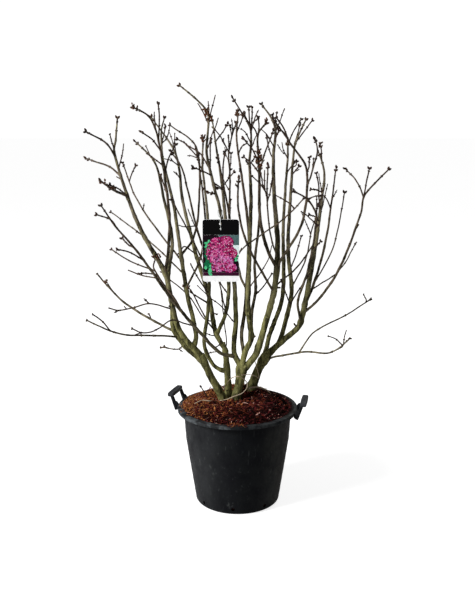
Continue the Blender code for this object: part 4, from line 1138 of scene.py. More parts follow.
# Colours as red, green and blue, the white with its alpha
POT_BLACKS = ((0.0016, 0.0018, 0.0030), (0.0052, 0.0060, 0.0066))
HANDLE_BLACKS = ((0.0026, 0.0029, 0.0040), (0.0110, 0.0124, 0.0136))
# Lighter greys of the dust and painted highlight at the pot's sides
LEFT_DUST_AND_HIGHLIGHT_COLOUR = (0.027, 0.028, 0.030)
RIGHT_DUST_AND_HIGHLIGHT_COLOUR = (0.030, 0.031, 0.026)
SCUFF_COLOUR = (0.052, 0.057, 0.055)
SCRATCH_COLOUR = (0.036, 0.040, 0.040)
# Colour of the painted highlight on the lip
LIP_HIGHLIGHT_COLOUR = (0.072, 0.080, 0.085)
# Darker brown of the patches at the right and back
BACK_DARK_PATCHES_COLOUR = (0.0060, 0.0034, 0.0028)
# Colour of the painted highlight on the grip
GRIP_HIGHLIGHT_COLOUR = (0.040, 0.042, 0.046)
DARK_PATCH = (0.011, 0.010, 0.005)
WHITE = (1.0, 1.0, 1.0, 1.0)
# Barks: name, colour near the ground and high up, colour of the dark patches,
# and the heights between which it changes
BARKS = {
    "olive_bark": ("olive_bark_relief", (0.198, 0.190, 0.072), (0.160, 0.134, 0.092), DARK_PATCH,
                   (0.68, 1.12)),
    "brown_bark": ("brown_bark_relief", (0.156, 0.134, 0.082), (0.100, 0.070, 0.050), DARK_PATCH,
                   (0.62, 1.18)),
    "twig": ("twig_bark", (0.090, 0.066, 0.042), (0.066, 0.042, 0.032), (0.020, 0.013, 0.010),
             (0.55, 1.2)),
}
# Other materials: name, two close colours, scale of their patches, roughness,
# depth of the relief and specular level
PLAINS = {
    "strand": ("dry_stem", (0.46, 0.38, 0.28), (0.29, 0.22, 0.15), 120.0, 0.8, 0.0003, 0.1),
    # The bed's near-black colour is the dark mulch below, deepened as painted shade in the gaps between
    # shreds
    "bed": ("mulch_bed", (0.004, 0.002, 0.001), (0.024, 0.006, 0.003), 160.0, 0.95, 0.002, 0.03),
    "card": ("label_card", (0.78, 0.78, 0.79), (0.86, 0.86, 0.86), 60.0, 0.4, 0.00002, 0.2),
    "tie": ("tie_strap", (0.36, 0.38, 0.37), (0.60, 0.62, 0.60), 300.0, 0.3, 0.0001, 0.3),
}
# Depth of the relief and specular level of all buds
BUD_LOOK = (0.0003, 0.15)
BUDS = [
    ("bud_maroon", (0.026, 0.010, 0.009), (0.052, 0.023, 0.017), 420.0, 0.5, *BUD_LOOK),
    ("bud_red_brown", (0.034, 0.018, 0.012), (0.066, 0.034, 0.022), 420.0, 0.55, *BUD_LOOK),
    ("bud_olive", (0.064, 0.045, 0.021), (0.038, 0.024, 0.014), 420.0, 0.6, *BUD_LOOK),
    ("bud_dark", (0.014, 0.009, 0.007), (0.034, 0.019, 0.014), 420.0, 0.6, *BUD_LOOK),
]
CAPSULES = [
    ("capsule_red", (0.150, 0.060, 0.028), (0.060, 0.020, 0.013), 380.0, 0.65, 0.0003, 0.1),
    ("capsule_brown", (0.110, 0.060, 0.028), (0.045, 0.024, 0.014), 380.0, 0.7, 0.0003, 0.1),
]
# Scale of the patches, roughness, depth of the relief and specular level of all shreds
SHRED_LOOK = (260.0, 0.85, 0.0006, 0.04)
SHREDS = [
    ("shred_red_brown", (0.215, 0.050, 0.022), (0.085, 0.017, 0.009), *SHRED_LOOK),
    ("shred_tan", (0.560, 0.240, 0.080), (0.270, 0.085, 0.024), *SHRED_LOOK),
    ("shred_maroon", (0.125, 0.017, 0.018), (0.036, 0.005, 0.006), *SHRED_LOOK),
    ("shred_dark", (0.007, 0.002, 0.002), (0.020, 0.005, 0.004), *SHRED_LOOK),
    ("shred_pale", (0.640, 0.400, 0.320), (0.360, 0.150, 0.130), *SHRED_LOOK),
]


def feed(tree, node, inputs):
    """Inputs of a node, each given as a value or as a socket to link."""
    for name, value in inputs.items():
        if isinstance(value, bpy.types.NodeSocket):
            tree.links.new(value, node.inputs[name])
        else:
            node.inputs[name].default_value = value


def add_node(tree, kind, inputs=None, **settings):
    """Node with its settings and inputs."""
    made = tree.nodes.new("ShaderNode" + kind)
    for name, value in settings.items():
        setattr(made, name, value)
    feed(tree, made, inputs or {})
    return made


def place_node(tree, stretch=EVEN):
    """Place on the object, which is the place on the plant, stretched along its axes."""
    spot = add_node(tree, "TexCoord").outputs["Object"]
    return add_node(tree, "Mapping", {"Vector": spot, "Scale": stretch}).outputs["Vector"]


def place_parts(tree):
    """Place on the plant as its X, Y and Z."""
    return add_node(tree, "SeparateXYZ", {"Vector": place_node(tree)}).outputs


def noise_node(tree, scale, detail, stretch=EVEN, rough=0.55):
    """Fractal noise over the object, from 0 to 1."""
    inputs = {"Vector": place_node(tree, stretch), "Scale": scale, "Detail": detail, "Roughness": rough}
    return add_node(tree, "TexNoise", inputs).outputs["Fac"]


def ramp(tree, value, low, high, least=0.0, most=1.0):
    """The value's span from low to high, taken to another span."""
    inputs = {"Value": value, "From Min": low, "From Max": high, "To Min": least, "To Max": most}
    return add_node(tree, "MapRange", inputs).outputs["Result"]


def strength(tree, marks):
    """Strength of patches or streaks at each place."""
    value = noise_node(tree, marks.scale, marks.detail, marks.stretch, marks.rough)
    return ramp(tree, value, marks.low, marks.high, marks.least, marks.most)


def with_alpha(colour):
    """Colour with its fourth number, or the socket that gives it."""
    return colour if isinstance(colour, bpy.types.NodeSocket) else (*colour, 1.0)


def mixed(tree, share, first, second, way="MIX"):
    """Mix of two colours, each a tuple or a socket."""
    inputs = {0: share, 6: with_alpha(first), 7: with_alpha(second)}
    return add_node(tree, "Mix", inputs, data_type="RGBA", blend_type=way).outputs[2]


def mixed_number(tree, share, first, second):
    """Mix of two numbers, each a value or a socket."""
    return add_node(tree, "Mix", {0: share, 2: first, 3: second}, data_type="FLOAT").outputs[0]


def times(tree, first, second):
    """Product of two numbers, each a value or a socket."""
    return add_node(tree, "Math", {0: first, 1: second}, operation="MULTIPLY").outputs[0]


def length_of(tree, place):
    """Length of a vector, given as a socket."""
    return add_node(tree, "VectorMath", {0: place}, operation="LENGTH").outputs["Value"]


def grey(tree, value):
    """Grey of a given brightness."""
    return add_node(tree, "CombineColor", {"Red": value, "Green": value, "Blue": value}).outputs["Color"]


def start_material(name, roughness, specular):
    """Material with its tree of nodes and its shader."""
    made = bpy.data.materials.new(name)
    made.use_nodes = True
    tree = made.node_tree
    shader = tree.nodes["Principled BSDF"]
    feed(tree, shader, {"Roughness": roughness, "Specular IOR Level": specular})
    return made, tree, shader


def cover(tree, shader, colour, depth, *grain):
    """Colour of a surface and its fine relief."""
    relief = noise_node(tree, *grain)
    bump = add_node(tree, "Bump", {"Height": relief, "Distance": depth, "Strength": 1.0})
    feed(tree, shader, {"Base Color": colour, "Normal": bump.outputs["Normal"]})


def plain_material(name, first, second, scale, roughness, depth, specular):
    """Two close colours in a noise, with fine relief."""
    made, tree, shader = start_material(name, roughness, specular)
    colour = mixed(tree, strength(tree, Marks(scale, *PLAIN_PATCHES)), first, second)
    cover(tree, shader, colour, depth, scale * PLAIN_GRAIN_SCALE, PLAIN_GRAIN_DETAIL)
    return made


def bark_material(name, low, high, dark, heights):
    """Bark that is greener near the ground, with dark patches, streaks and pale specks."""
    made, tree, shader = start_material(name, *BARK_FINISH)
    wander = strength(tree, BARK_WANDER)
    height = add_node(tree, "Math", {0: place_parts(tree)["Z"], 1: wander}, operation="ADD")
    colour = mixed(tree, ramp(tree, height.outputs[0], *heights), low, high)
    colour = mixed(tree, strength(tree, BARK_PATCHES), colour, dark)
    pale = tuple(min(1.0, part * SPECK_GAIN[0] + SPECK_GAIN[1]) for part in low)
    colour = mixed(tree, strength(tree, BARK_SPECKS), colour, pale)
    colour = mixed(tree, 1.0, colour, grey(tree, strength(tree, BARK_STREAKS)), "MULTIPLY")
    cover(tree, shader, colour, *BARK_GRAIN)
    return made


def pot_material():
    """Black moulded plastic with pale scuffs, dust and a painted highlight at its sides, a painted highlight
    on the lip, and darker brown patches at the right and back.
    """
    made, tree, shader = start_material("pot_plastic_worn", *POT_FINISH)
    place = place_parts(tree)
    across, height = place["X"], place["Z"]
    colour = mixed(tree, strength(tree, POT_TONE), *POT_BLACKS)
    # Dust and painted highlight towards the left and the right side
    left = times(tree, ramp(tree, across, *LEFT_DUST_AND_HIGHLIGHT_ACROSS), strength(tree, LEFT_DUST_AND_HIGHLIGHT))
    colour = mixed(tree, times(tree, left, LEFT_DUST_AND_HIGHLIGHT_MOST), colour, LEFT_DUST_AND_HIGHLIGHT_COLOUR)
    right = times(tree, ramp(tree, across, *RIGHT_DUST_AND_HIGHLIGHT_ACROSS), strength(tree, RIGHT_DUST_AND_HIGHLIGHT))
    colour = mixed(tree, times(tree, right, RIGHT_DUST_AND_HIGHLIGHT_MOST), colour, RIGHT_DUST_AND_HIGHLIGHT_COLOUR)
    scuffs = times(tree, strength(tree, SCUFFS), ramp(tree, across, *SCUFFS_ACROSS))
    colour = mixed(tree, scuffs, colour, SCUFF_COLOUR)
    colour = mixed(tree, strength(tree, SCRATCHES), colour, SCRATCH_COLOUR)
    # Painted highlight on the lip's top all round, and on its skirt, strongest on the left half
    lip = times(tree, ramp(tree, height, *LIP_RISE), strength(tree, LIP_HIGHLIGHT_PATCHES))
    skirt = ramp(tree, across, *LIP_SKIRT_HIGHLIGHT_ACROSS)
    lip = times(tree, lip, mixed_number(tree, ramp(tree, height, *LIP_TOP_RISE), skirt, 1.0))
    colour = mixed(tree, lip, colour, LIP_HIGHLIGHT_COLOUR)
    # Darker brown patches on the right-back of the pot, everywhere but the outer part of the lip
    reach = length_of(tree, place_node(tree, (1, 1, 0)))
    behind = add_node(tree, "VectorMath", {0: place_node(tree), 1: BACK_DARK_WAY}, operation="DOT_PRODUCT")
    behind = ramp(tree, behind.outputs["Value"], *BACK_DARK_BACKWARD)
    back_darkened = times(tree, times(tree, ramp(tree, reach, *BACK_DARK_INWARD), behind), strength(tree, BACK_DARK_PATCHES))
    colour = mixed(tree, back_darkened, colour, BACK_DARK_PATCHES_COLOUR)
    feed(tree, shader, {"Roughness": strength(tree, POT_GLOSS)})
    cover(tree, shader, colour, *POT_GRAIN)
    return made


def handle_material():
    """Black moulded plastic, with a painted highlight on the upper part of the grip."""
    made, tree, shader = start_material("handle_plastic", *HANDLE_FINISH)
    colour = mixed(tree, strength(tree, HANDLE_TONE), *HANDLE_BLACKS)
    # Painted highlight on the upper part of the grip
    grip_highlight = times(tree, ramp(tree, place_parts(tree)["Z"], *GRIP_RISE), strength(tree, GRIP_HIGHLIGHT))
    colour = mixed(tree, grip_highlight, colour, GRIP_HIGHLIGHT_COLOUR)
    cover(tree, shader, colour, *HANDLE_GRAIN)
    return made


def make_materials():
    """All materials by name, those of the buds, capsules and shreds in lists."""
    materials = {name: bark_material(*look) for name, look in BARKS.items()}
    materials.update({name: plain_material(*look) for name, look in PLAINS.items()})
    materials.update(pot=pot_material(), handle=handle_material())
    for name, looks in (("buds", BUDS), ("capsules", CAPSULES), ("shreds", SHREDS)):
        materials[name] = [plain_material(*look) for look in looks]
    return materials


# Mulch

SOIL_EDGE = 0.366
SOIL_FLAT_RADIUS = 0.125
SOIL_FALL_HALF_WAY = 0.4
BED_TOP_FROM = SOIL_EDGE - 0.001
SOIL_SUNK = 0.005
# Lumps of the bed: pace of the noise, its third coordinate and the height of the lumps
SOIL_LUMPS = [(17, 2.5, 0.005), (60, 7.5, 0.003)]
EDGE_REACH = 0.02
EDGE_LUMPS = 0.25
HEAP_CENTRE = Vector((0.080, 0.085))
HEAP_RADIUS = 0.06
HEAP_HEIGHT = 0.013
# Heap at the back, heap at the left and hollow at the right: height, and the spans over which each rises
BACK_HEAP = 0.024
BACK_HEAP_Y = (0.075, 0.15)
BACK_HEAP_INSIDE = (-0.02, 0.045)
BACK_HEAP_X = (-0.14, -0.05)
LEFT_HEAP = 0.008
LEFT_HEAP_X = (0.07, 0.16)
RIGHT_HOLLOW = 0.008
RIGHT_HOLLOW_X = (0.09, 0.18)
BED_SIDES = 160
BED_RINGS = 60
# The bed is kept clear of the pot's floor and side, and more so where the wall narrows
BED_GAP = 0.0005
BED_SIDE_GAP = 0.0004
BED_SHOULDER_GAP = 0.0085
BED_FOOT_GAP = 0.001
# Colours of the shreds by their number
RED, TAN, PLUM, BLACK, PALE = range(5)
PALE_SHARE = 0.034
# Upper end of the draw for each colour, and how the draw shifts with X and with -Y
SHRED_DRAWS = [(0.12, TAN), (0.36, RED), (0.60, PLUM)]
DRAW_SHIFTS = (1.5, 1.3)
SHRED_COUNT = 6400
SHRED_LENGTHS = (0.010, 0.014, 0.02, 0.028, 0.038)
SHRED_SCALES = (0.7, 1.2)
# How far a shred's middle keeps from the edge of the bed, as a fixed part and a share of its length
SHRED_MARGIN = (0.003, 0.32)
SHRED_LIFTS = (-0.0015, 0.0065)
SHRED_CURL = (0.02, 0.07)
SHRED_LENGTH_SHARES = (-0.5, -0.2, 0.2, 0.5)
SHRED_WIDTH_SHARES = (0.35, 1.0, 0.85, 0.3)
SHRED_FLATNESS = 0.3
# Fibrous shreds lie at the left: middle and spread of the X where they end and of their heading,
# and how they tilt and how wide they are
FIBRE_END = (-0.06, 0.04)
FIBRE_HEADING = (0.5, 0.6)
FIBRE_TILT = 0.18
FIBRE_WIDTHS = (0.0012, 0.0032)
CHIP_TILT = 0.3
CHIP_WIDTHS = (0.0022, 0.0078)
# Shreds on the lip start a little inside its inner edge and end before its rim
LIP_SHREDS_INSIDE = 0.006
OVERHANG_SHREDS = 46
OVERHANG_DEGREES = (-92, 5)
OVERHANG_END = 0.002
OVERHANG_LIFTS = (0.001, 0.004)
OVERHANG_LENGTHS = (0.012, 0.026)
OVERHANG_WIDTHS = (0.001, 0.002)
OVERHANG_CURL = 0.10
OVERHANG_STRAY = (0, 0.6)
OVERHANG_DIP = (-0.1, 0.12)
# Where bark has spilled on the lip: middle and spread of its angle in degrees,
# how far out it reaches and how many shreds
SPILLS = [(140, 28, 0.008, 1500), (36, 34, 0.0055, 800)]
SPILL_END = 0.004
SPILL_LIFTS = (-0.001, 0.0045)
SPILL_LENGTHS = (0.008, 0.024)
SPILL_CURL = 0.03
SPILL_STRAY = (0, 0.5)
SPILL_TILT = (0, 0.15)
CRUMB_COUNT = 4200
CRUMB_SIZES = (0.0012, 0.0036)
CRUMB_UNEVEN = (0.6, 1.4)
CRUMB_TILTS = (-0.8, 0.8)
CRUMB_LIFT = 0.001
CRUMB_MARGIN = 0.004
CRUMB_CORNERS = np.array([(1, 0, 0), (0, 1, 0), (-1, 0, 0), (0, -1, 0), (0, 0, 1), (0, 0, -1)], float)
CRUMB_FACES = [(0, 1, 4), (1, 2, 4), (2, 3, 4), (3, 0, 4), (1, 0, 5), (2, 1, 5), (3, 2, 5), (0, 3, 5)]


def smooth_step(value, low, high):
    """Rise from 0 to 1 between two values, level at both ends."""
    share = min(1.0, max(0.0, (value - low) / (high - low)))
    return share * share * (3 - 2 * share)


def mulch_height(x, y):
    """Height of the mulch, heaped behind the right stem, along the back and a little at the left."""
    radius = math.hypot(x, y)
    half_way = (SOIL_FLAT_RADIUS + SOIL_RADIUS) / 2
    heights = [SOIL_TOP, SOIL_TOP, SOIL_TOP - SOIL_FALL_HALF_WAY * (SOIL_TOP - SOIL_EDGE), SOIL_EDGE]
    base = float(np.interp(radius, [0, SOIL_FLAT_RADIUS, half_way, SOIL_RADIUS], heights))
    lump = sum(noise.noise(Vector((x * pace, y * pace, third))) * high for pace, third, high in SOIL_LUMPS)
    rise = HEAP_HEIGHT * math.exp(-((Vector((x, y)) - HEAP_CENTRE).length / HEAP_RADIUS) ** 2)
    inside = max(0.0, SOIL_RADIUS - radius)
    edge = min(1.0, inside / EDGE_REACH + EDGE_LUMPS)
    back = BACK_HEAP * smooth_step(y, *BACK_HEAP_Y) * smooth_step(inside, *BACK_HEAP_INSIDE)
    back *= smooth_step(-x, *BACK_HEAP_X)
    left = LEFT_HEAP * smooth_step(-x, *LEFT_HEAP_X)
    hollow = RIGHT_HOLLOW * smooth_step(x, *RIGHT_HOLLOW_X)
    return base - SOIL_SUNK + back + left - hollow + (lump + rise) * edge


def make_bed(mat):
    """Body of the mulch, uneven on top, filling the pot."""
    low = MULCH_LOW.z + BED_GAP
    side = SOIL_RADIUS - BED_SIDE_GAP
    profile = [(0.0, SOIL_TOP)] + [(side * (i + 1) / BED_RINGS, SOIL_TOP) for i in range(BED_RINGS)]
    foot = FOOT_RADIUS - WALL
    profile += [(side - BED_SHOULDER_GAP, SHOULDER_HEIGHT),
                (foot - BED_FOOT_GAP, FOOT_ROUND + BED_FOOT_GAP), (foot - FOOT_ROUND, low), (0.0, low)]

    def ripple(x, y, z):
        return (x, y, mulch_height(x, y)) if z > BED_TOP_FROM else (x, y, z)

    heap = Heap()
    heap.add(lathe_shape(profile, BED_SIDES, ripple))
    make_piece("mulch_bed", heap, [mat], ["mulch"])


def shred_kind(x, y):
    """Colour of a shred by its place: brighter at the left and the back, darker at the right and in front."""
    draw = rng.random() + DRAW_SHIFTS[0] * x + DRAW_SHIFTS[1] * max(0.0, -y)
    if rng.random() < PALE_SHARE:
        return PALE
    return next((kind for limit, kind in SHRED_DRAWS if draw < limit), BLACK)


def shred_shape(place, way, length, width, curl):
    """Flat shred of bark, bent along its length and thin at its ends."""
    way = Vector(way).normalized()
    flat = way.cross(Vector((0, 0, 1))).normalized()
    arch = flat.cross(way) * -curl * length
    points = np.array([tuple(Vector(place) + way * length * s + arch * (1 - 4 * s * s))
                       for s in SHRED_LENGTH_SHARES])
    wide = np.array(SHRED_WIDTH_SHARES) * width / 2
    thick = wide * SHRED_FLATNESS
    radii = np.stack([wide, thick, wide, thick], axis=1)
    return tube_shape(points, radii, 4, 0.3, frames_along(points, flat))


def on_circle(radius, angle):
    """Place on a circle round the axis of the pot."""
    return radius * math.cos(angle), radius * math.sin(angle)


def random_on_bed(margin):
    """Place on the mulch, evenly spread, kept off its edge by a margin."""
    return on_circle((SOIL_RADIUS - margin) * math.sqrt(rng.random()), rng.uniform(0, math.tau))


def add_bed_shred(heap):
    """Shred that lies on the bed, fibrous and much in one direction at the left."""
    length = rng.choice(SHRED_LENGTHS) * rng.uniform(*SHRED_SCALES)
    x, y = random_on_bed(SHRED_MARGIN[0] + length * SHRED_MARGIN[1])
    fibrous = x < rng.gauss(*FIBRE_END)
    angle = rng.gauss(*FIBRE_HEADING) if fibrous else rng.uniform(0, math.tau)
    way = (*on_circle(1, angle), rng.gauss(0, FIBRE_TILT if fibrous else CHIP_TILT))
    width = rng.uniform(*(FIBRE_WIDTHS if fibrous else CHIP_WIDTHS))
    place = (x, y, mulch_height(x, y) + rng.uniform(*SHRED_LIFTS))
    heap.add(shred_shape(place, way, length, width, rng.gauss(*SHRED_CURL)), shred_kind(x, y))


def add_overhanging_shred(heap):
    """Thin shred that hangs over the lip in front."""
    angle = math.radians(rng.gauss(*OVERHANG_DEGREES))
    radius = rng.uniform(SOIL_RADIUS - LIP_SHREDS_INSIDE, LIP_RADIUS - OVERHANG_END)
    place = (*on_circle(radius, angle), POT_HEIGHT + rng.uniform(*OVERHANG_LIFTS))
    way = (rng.gauss(*OVERHANG_STRAY), -1.0, rng.gauss(*OVERHANG_DIP))
    length, width = rng.uniform(*OVERHANG_LENGTHS), rng.uniform(*OVERHANG_WIDTHS)
    heap.add(shred_shape(place, way, length, width, OVERHANG_CURL),
             rng.choice((RED, RED, PLUM, PLUM, TAN)))


def add_spilled_shred(heap, middle, spread, reach):
    """Shred on the lip, lying along it, left out where it would reach the lip's rim."""
    angle = math.radians(rng.gauss(middle, spread))
    radius = SOIL_RADIUS - LIP_SHREDS_INSIDE + abs(rng.gauss(0, reach))
    length = rng.uniform(*SPILL_LENGTHS)
    if radius > LIP_RADIUS - SPILL_END:
        return
    place = (*on_circle(radius, angle), POT_HEIGHT + rng.uniform(*SPILL_LIFTS))
    heading = angle + math.pi / 2 + rng.gauss(*SPILL_STRAY)
    way = (*on_circle(1, heading), rng.gauss(*SPILL_TILT))
    width = rng.uniform(*FIBRE_WIDTHS)
    heap.add(shred_shape(place, way, length, width, SPILL_CURL), shred_kind(*place[:2]))


def make_shreds(materials):
    """Shredded bark over the bed and on the lip."""
    heap = Heap()
    for _ in range(SHRED_COUNT):
        add_bed_shred(heap)
    for _ in range(OVERHANG_SHREDS):
        add_overhanging_shred(heap)
    for middle, spread, reach, count in SPILLS:
        for _ in range(count):
            add_spilled_shred(heap, middle, spread, reach)
    make_piece("mulch_shreds", heap, materials, smooth=False)


def make_crumbs(materials):
    """Small crumbs of bark between the shreds."""
    heap = Heap()
    for _ in range(CRUMB_COUNT):
        x, y = random_on_bed(CRUMB_MARGIN)
        spin, tilt = rng.uniform(0, math.tau), rng.uniform(*CRUMB_TILTS)
        turn = Matrix.Rotation(spin, 3, "Z") @ Matrix.Rotation(tilt, 3, "X")
        uneven = np.array([rng.uniform(*CRUMB_UNEVEN) for _ in range(CRUMB_CORNERS.size)]).reshape(-1, 3)
        size = uneven * rng.uniform(*CRUMB_SIZES)
        place = np.array([x, y, mulch_height(x, y) + CRUMB_LIFT])
        points = (CRUMB_CORNERS * size) @ np.array(turn).T + place
        heap.add((points, CRUMB_FACES), shred_kind(x, y))
    make_piece("mulch_crumbs", heap, materials, smooth=False)


# Pot and handles

HANDLE_ANGLES = {"pot_handle_right": math.radians(-9.5), "pot_handle_left": math.radians(162.5)}
HANDLE_FEET = 0.091
HANDLE_FOOT_DROP = 0.024
HANDLE_GRIP_HEIGHT = 0.411
HANDLE_LEAN = 0.022
HANDLE_LEG_WIDE = 0.0062
HANDLE_LEG_DEEP = 0.0064
HANDLE_GRIP_WIDE = 0.0125
HANDLE_GRIP_TALL = 0.0082
HANDLE_GRIP_PROUD = 0.0030
HANDLE_GRIP_OVER = 0.0060
HANDLE_RIB = 0.00035
# Half widths of a leg and of the grip at shares of their lengths, as shares of the sizes above
LEG_SECTIONS = [(0, 1.15, 1.1), (0.5, 1.05, 1), (1, 0.9, 0.94)]
GRIP_SECTIONS = [(0, 0.9, 0.96), (0.5, 1, 1), (1, 0.9, 0.96)]
GRIP_SIDES = 28
BRACE_SIDES = 16
# Ends of the brace between a leg and the lip: out from the leg's foot,
# and up from that foot or from the lip's top
BRACE_LOW = (-0.005, 0.003)
BRACE_TOP = (0.004, 0.008)
# Half widths of the brace at shares of its length
BRACE = [(0, 0.0052, 0.0046), (0.6, 0.0084, 0.0046), (1, 0.0040, 0.0046)]
BEAM_ROUND = 0.0012
BEAM_ROUND_REACH = 0.0030
BEAM_RIB_START = 0.008
BEAM_RINGS = 24
INNER_RINGS = 12
OUTER_RINGS = 26
WALL_WAVE = 0.0003
WALL_WAVE_PACE = 300
# Round of the lip inside: its radius, and how far outside the neck its middle lies
LIP_INNER_ROUND = 0.005
LIP_INNER_OUT = 0.003
# Lower edge of the lip: its bulge, out and up from its corner, and how far its corners are cut
LIP_BULGE = (0.0004, 0.004)
LIP_OUTER_CUT = 0.0008
LIP_INNER_CUT = 0.0006
# Ring on which the pot stands, as radius and height
FOOT_RING = [(0.118, 0.0), (0.116, 0.002), (0.112, 0.002), (0.110, 0.0), (0.0, 0.0)]


def arc(centre_x, centre_z, radius, start, stop, steps):
    """Points of an arc in the XZ plane, its angles in degrees."""
    angles = [math.radians(start + (stop - start) * i / steps) for i in range(steps + 1)]
    return [(centre_x + radius * math.cos(a), centre_z + radius * math.sin(a)) for a in angles]


def wall_radius(height):
    """Outer radius of the pot's wall at a height."""
    heights, radii = [0.0, SHOULDER_HEIGHT, NECK_HEIGHT], [FOOT_RADIUS, SHOULDER_RADIUS, NECK_RADIUS]
    return float(np.interp(height, heights, radii))


def pot_profile():
    """Section of the pot, from the middle of its floor inside to the middle of its underside."""
    inside = [(0.0, WALL), (wall_radius(WALL) - WALL - FOOT_ROUND, WALL)]
    inside += [(wall_radius(z) - WALL, z) for z in np.linspace(FOOT_ROUND, NECK_HEIGHT, INNER_RINGS)]
    round_in = arc(NECK_RADIUS + LIP_INNER_OUT, POT_HEIGHT - LIP_INNER_ROUND, LIP_INNER_ROUND, 165, 90, 4)
    lip = arc(LIP_RADIUS - LIP_ROUND, POT_HEIGHT - LIP_ROUND, LIP_ROUND, 90, 0, 6)
    lip_foot = POT_HEIGHT - LIP_DROP
    inner = LIP_RADIUS - WALL
    under = [(LIP_RADIUS + LIP_BULGE[0], lip_foot + LIP_BULGE[1]), (LIP_RADIUS, lip_foot + LIP_OUTER_CUT),
             (LIP_RADIUS - LIP_OUTER_CUT, lip_foot), (inner + LIP_INNER_CUT, lip_foot),
             (inner, lip_foot + LIP_INNER_CUT), (inner, POT_HEIGHT - WALL),
             (NECK_RADIUS + WALL, POT_HEIGHT - WALL)]
    outside = [(wall_radius(z) + WALL_WAVE * math.sin(z * WALL_WAVE_PACE), z)
               for z in np.linspace(NECK_HEIGHT, FOOT_ROUND + 0.004, OUTER_RINGS)]
    foot = arc(wall_radius(FOOT_ROUND) - FOOT_ROUND, FOOT_ROUND, FOOT_ROUND, 0, -90, 7)
    return inside + round_in + lip + under + outside + foot + FOOT_RING


def drain_cutter():
    """Pegs that stand through the wall where the drain holes are."""
    shape = bmesh.new()
    lying = Matrix.Rotation(math.pi / 2, 4, "Y")
    for i in range(DRAIN_HOLES):
        turn = Matrix.Rotation(DRAIN_FIRST_ANGLE + math.tau * i / DRAIN_HOLES, 4, "Z")
        place = turn @ Matrix.Translation((wall_radius(DRAIN_HEIGHT), 0, DRAIN_HEIGHT))
        bmesh.ops.create_cone(shape, cap_ends=True, segments=DRAIN_SIDES, radius1=DRAIN_RADIUS,
                              radius2=DRAIN_RADIUS, depth=DRAIN_DEPTH, matrix=place @ lying)
    mesh = bpy.data.meshes.new("drain_cutter")
    shape.to_mesh(mesh)
    shape.free()
    return new_object("drain_cutter", mesh)


def evaluated_mesh(obj):
    """New mesh of an object as its curves or modifiers make it."""
    return bpy.data.meshes.new_from_object(obj.evaluated_get(bpy.context.evaluated_depsgraph_get()))


def make_pot(mat):
    """Pot with its turned-down lip and drain holes."""
    heap = Heap()
    heap.add(lathe_shape(pot_profile(), POT_SIDES))
    pot = make_piece("pot_shell", heap, [mat], ["pot"])
    cutter = drain_cutter()
    modifier = pot.modifiers.new("drain_holes", "BOOLEAN")
    modifier.operation = "DIFFERENCE"
    modifier.solver = "EXACT"
    modifier.object = cutter
    cut = evaluated_mesh(pot)
    pot.modifiers.clear()
    pot.data = cut
    bpy.data.objects.remove(cutter)


def squarish(around, across, deep, power=5.0):
    """Radii of a section that is nearly a rectangle with round corners."""
    turn = np.arange(around) * (math.tau / around)
    return (np.abs(np.cos(turn) / across) ** power + np.abs(np.sin(turn) / deep) ** power) ** (-1 / power)


def beam_shape(start, end, sections, side, around=24, rib=0.0):
    """Moulded bar between two places, its half widths given at shares of its length."""
    start, end = Vector(start), Vector(end)
    length = (end - start).length
    ends = [0.0, BEAM_ROUND / length, BEAM_ROUND_REACH / length]
    middle = list(np.linspace(0, 1, BEAM_RINGS))[1:-1]
    shares = sorted(ends + middle + [1 - share for share in ends])
    points = np.array([tuple(start.lerp(end, share)) for share in shares])
    known, *half_widths = zip(*sections)
    radii = []
    for i, share in enumerate(shares):
        across, deep = (float(np.interp(share, known, half_width)) for half_width in half_widths)
        off_end = min(share, 1 - share) * length
        rounding = BEAM_ROUND * (1 - min(1.0, off_end / BEAM_ROUND_REACH)) ** 2
        ridge = rib * math.cos(i * math.pi) * min(1.0, max(0.0, off_end / BEAM_RIB_START - 1))
        radii.append(squarish(around, across - rounding + ridge, deep - rounding + ridge))
    return tube_shape(points, radii, around, 0.0, frames_along(points, side))


def make_handle(name, angle, mat):
    """Handle with two straight legs that lean out from the lip, and a fuller ribbed grip across them."""
    turn = Matrix.Rotation(angle, 3, "Z")
    half = HANDLE_FEET / 2
    foot_z, top_z = POT_HEIGHT - HANDLE_FOOT_DROP, HANDLE_GRIP_HEIGHT
    foot_x = math.sqrt(LIP_RADIUS ** 2 - half ** 2) + HANDLE_LEG_DEEP
    top_x = foot_x + HANDLE_LEAN
    out = turn @ Vector((1, 0, 0))
    leg = [(share, HANDLE_LEG_DEEP * deep, HANDLE_LEG_WIDE * wide) for share, deep, wide in LEG_SECTIONS]
    grip = [(share, HANDLE_GRIP_WIDE * wide, HANDLE_GRIP_TALL * tall)
            for share, wide, tall in GRIP_SECTIONS]
    heap = Heap()
    for sign in (1, -1):
        foot, top = turn @ Vector((foot_x, sign * half, foot_z)), turn @ Vector((top_x, sign * half, top_z))
        heap.add(beam_shape(foot, top, leg, out))
        brace_low = turn @ Vector((foot_x + BRACE_LOW[0], sign * half, foot_z + BRACE_LOW[1]))
        brace_top = turn @ Vector((foot_x + BRACE_TOP[0], sign * half, POT_HEIGHT + BRACE_TOP[1]))
        heap.add(beam_shape(brace_low, brace_top, BRACE, out, BRACE_SIDES))
    reach = half + HANDLE_GRIP_OVER
    low, high = (turn @ Vector((top_x + HANDLE_GRIP_PROUD, sign * reach, top_z)) for sign in (-1, 1))
    heap.add(beam_shape(low, high, grip, out, GRIP_SIDES, HANDLE_RIB))
    make_piece(name + "_bar", heap, [mat], [name])


# Label and its tie

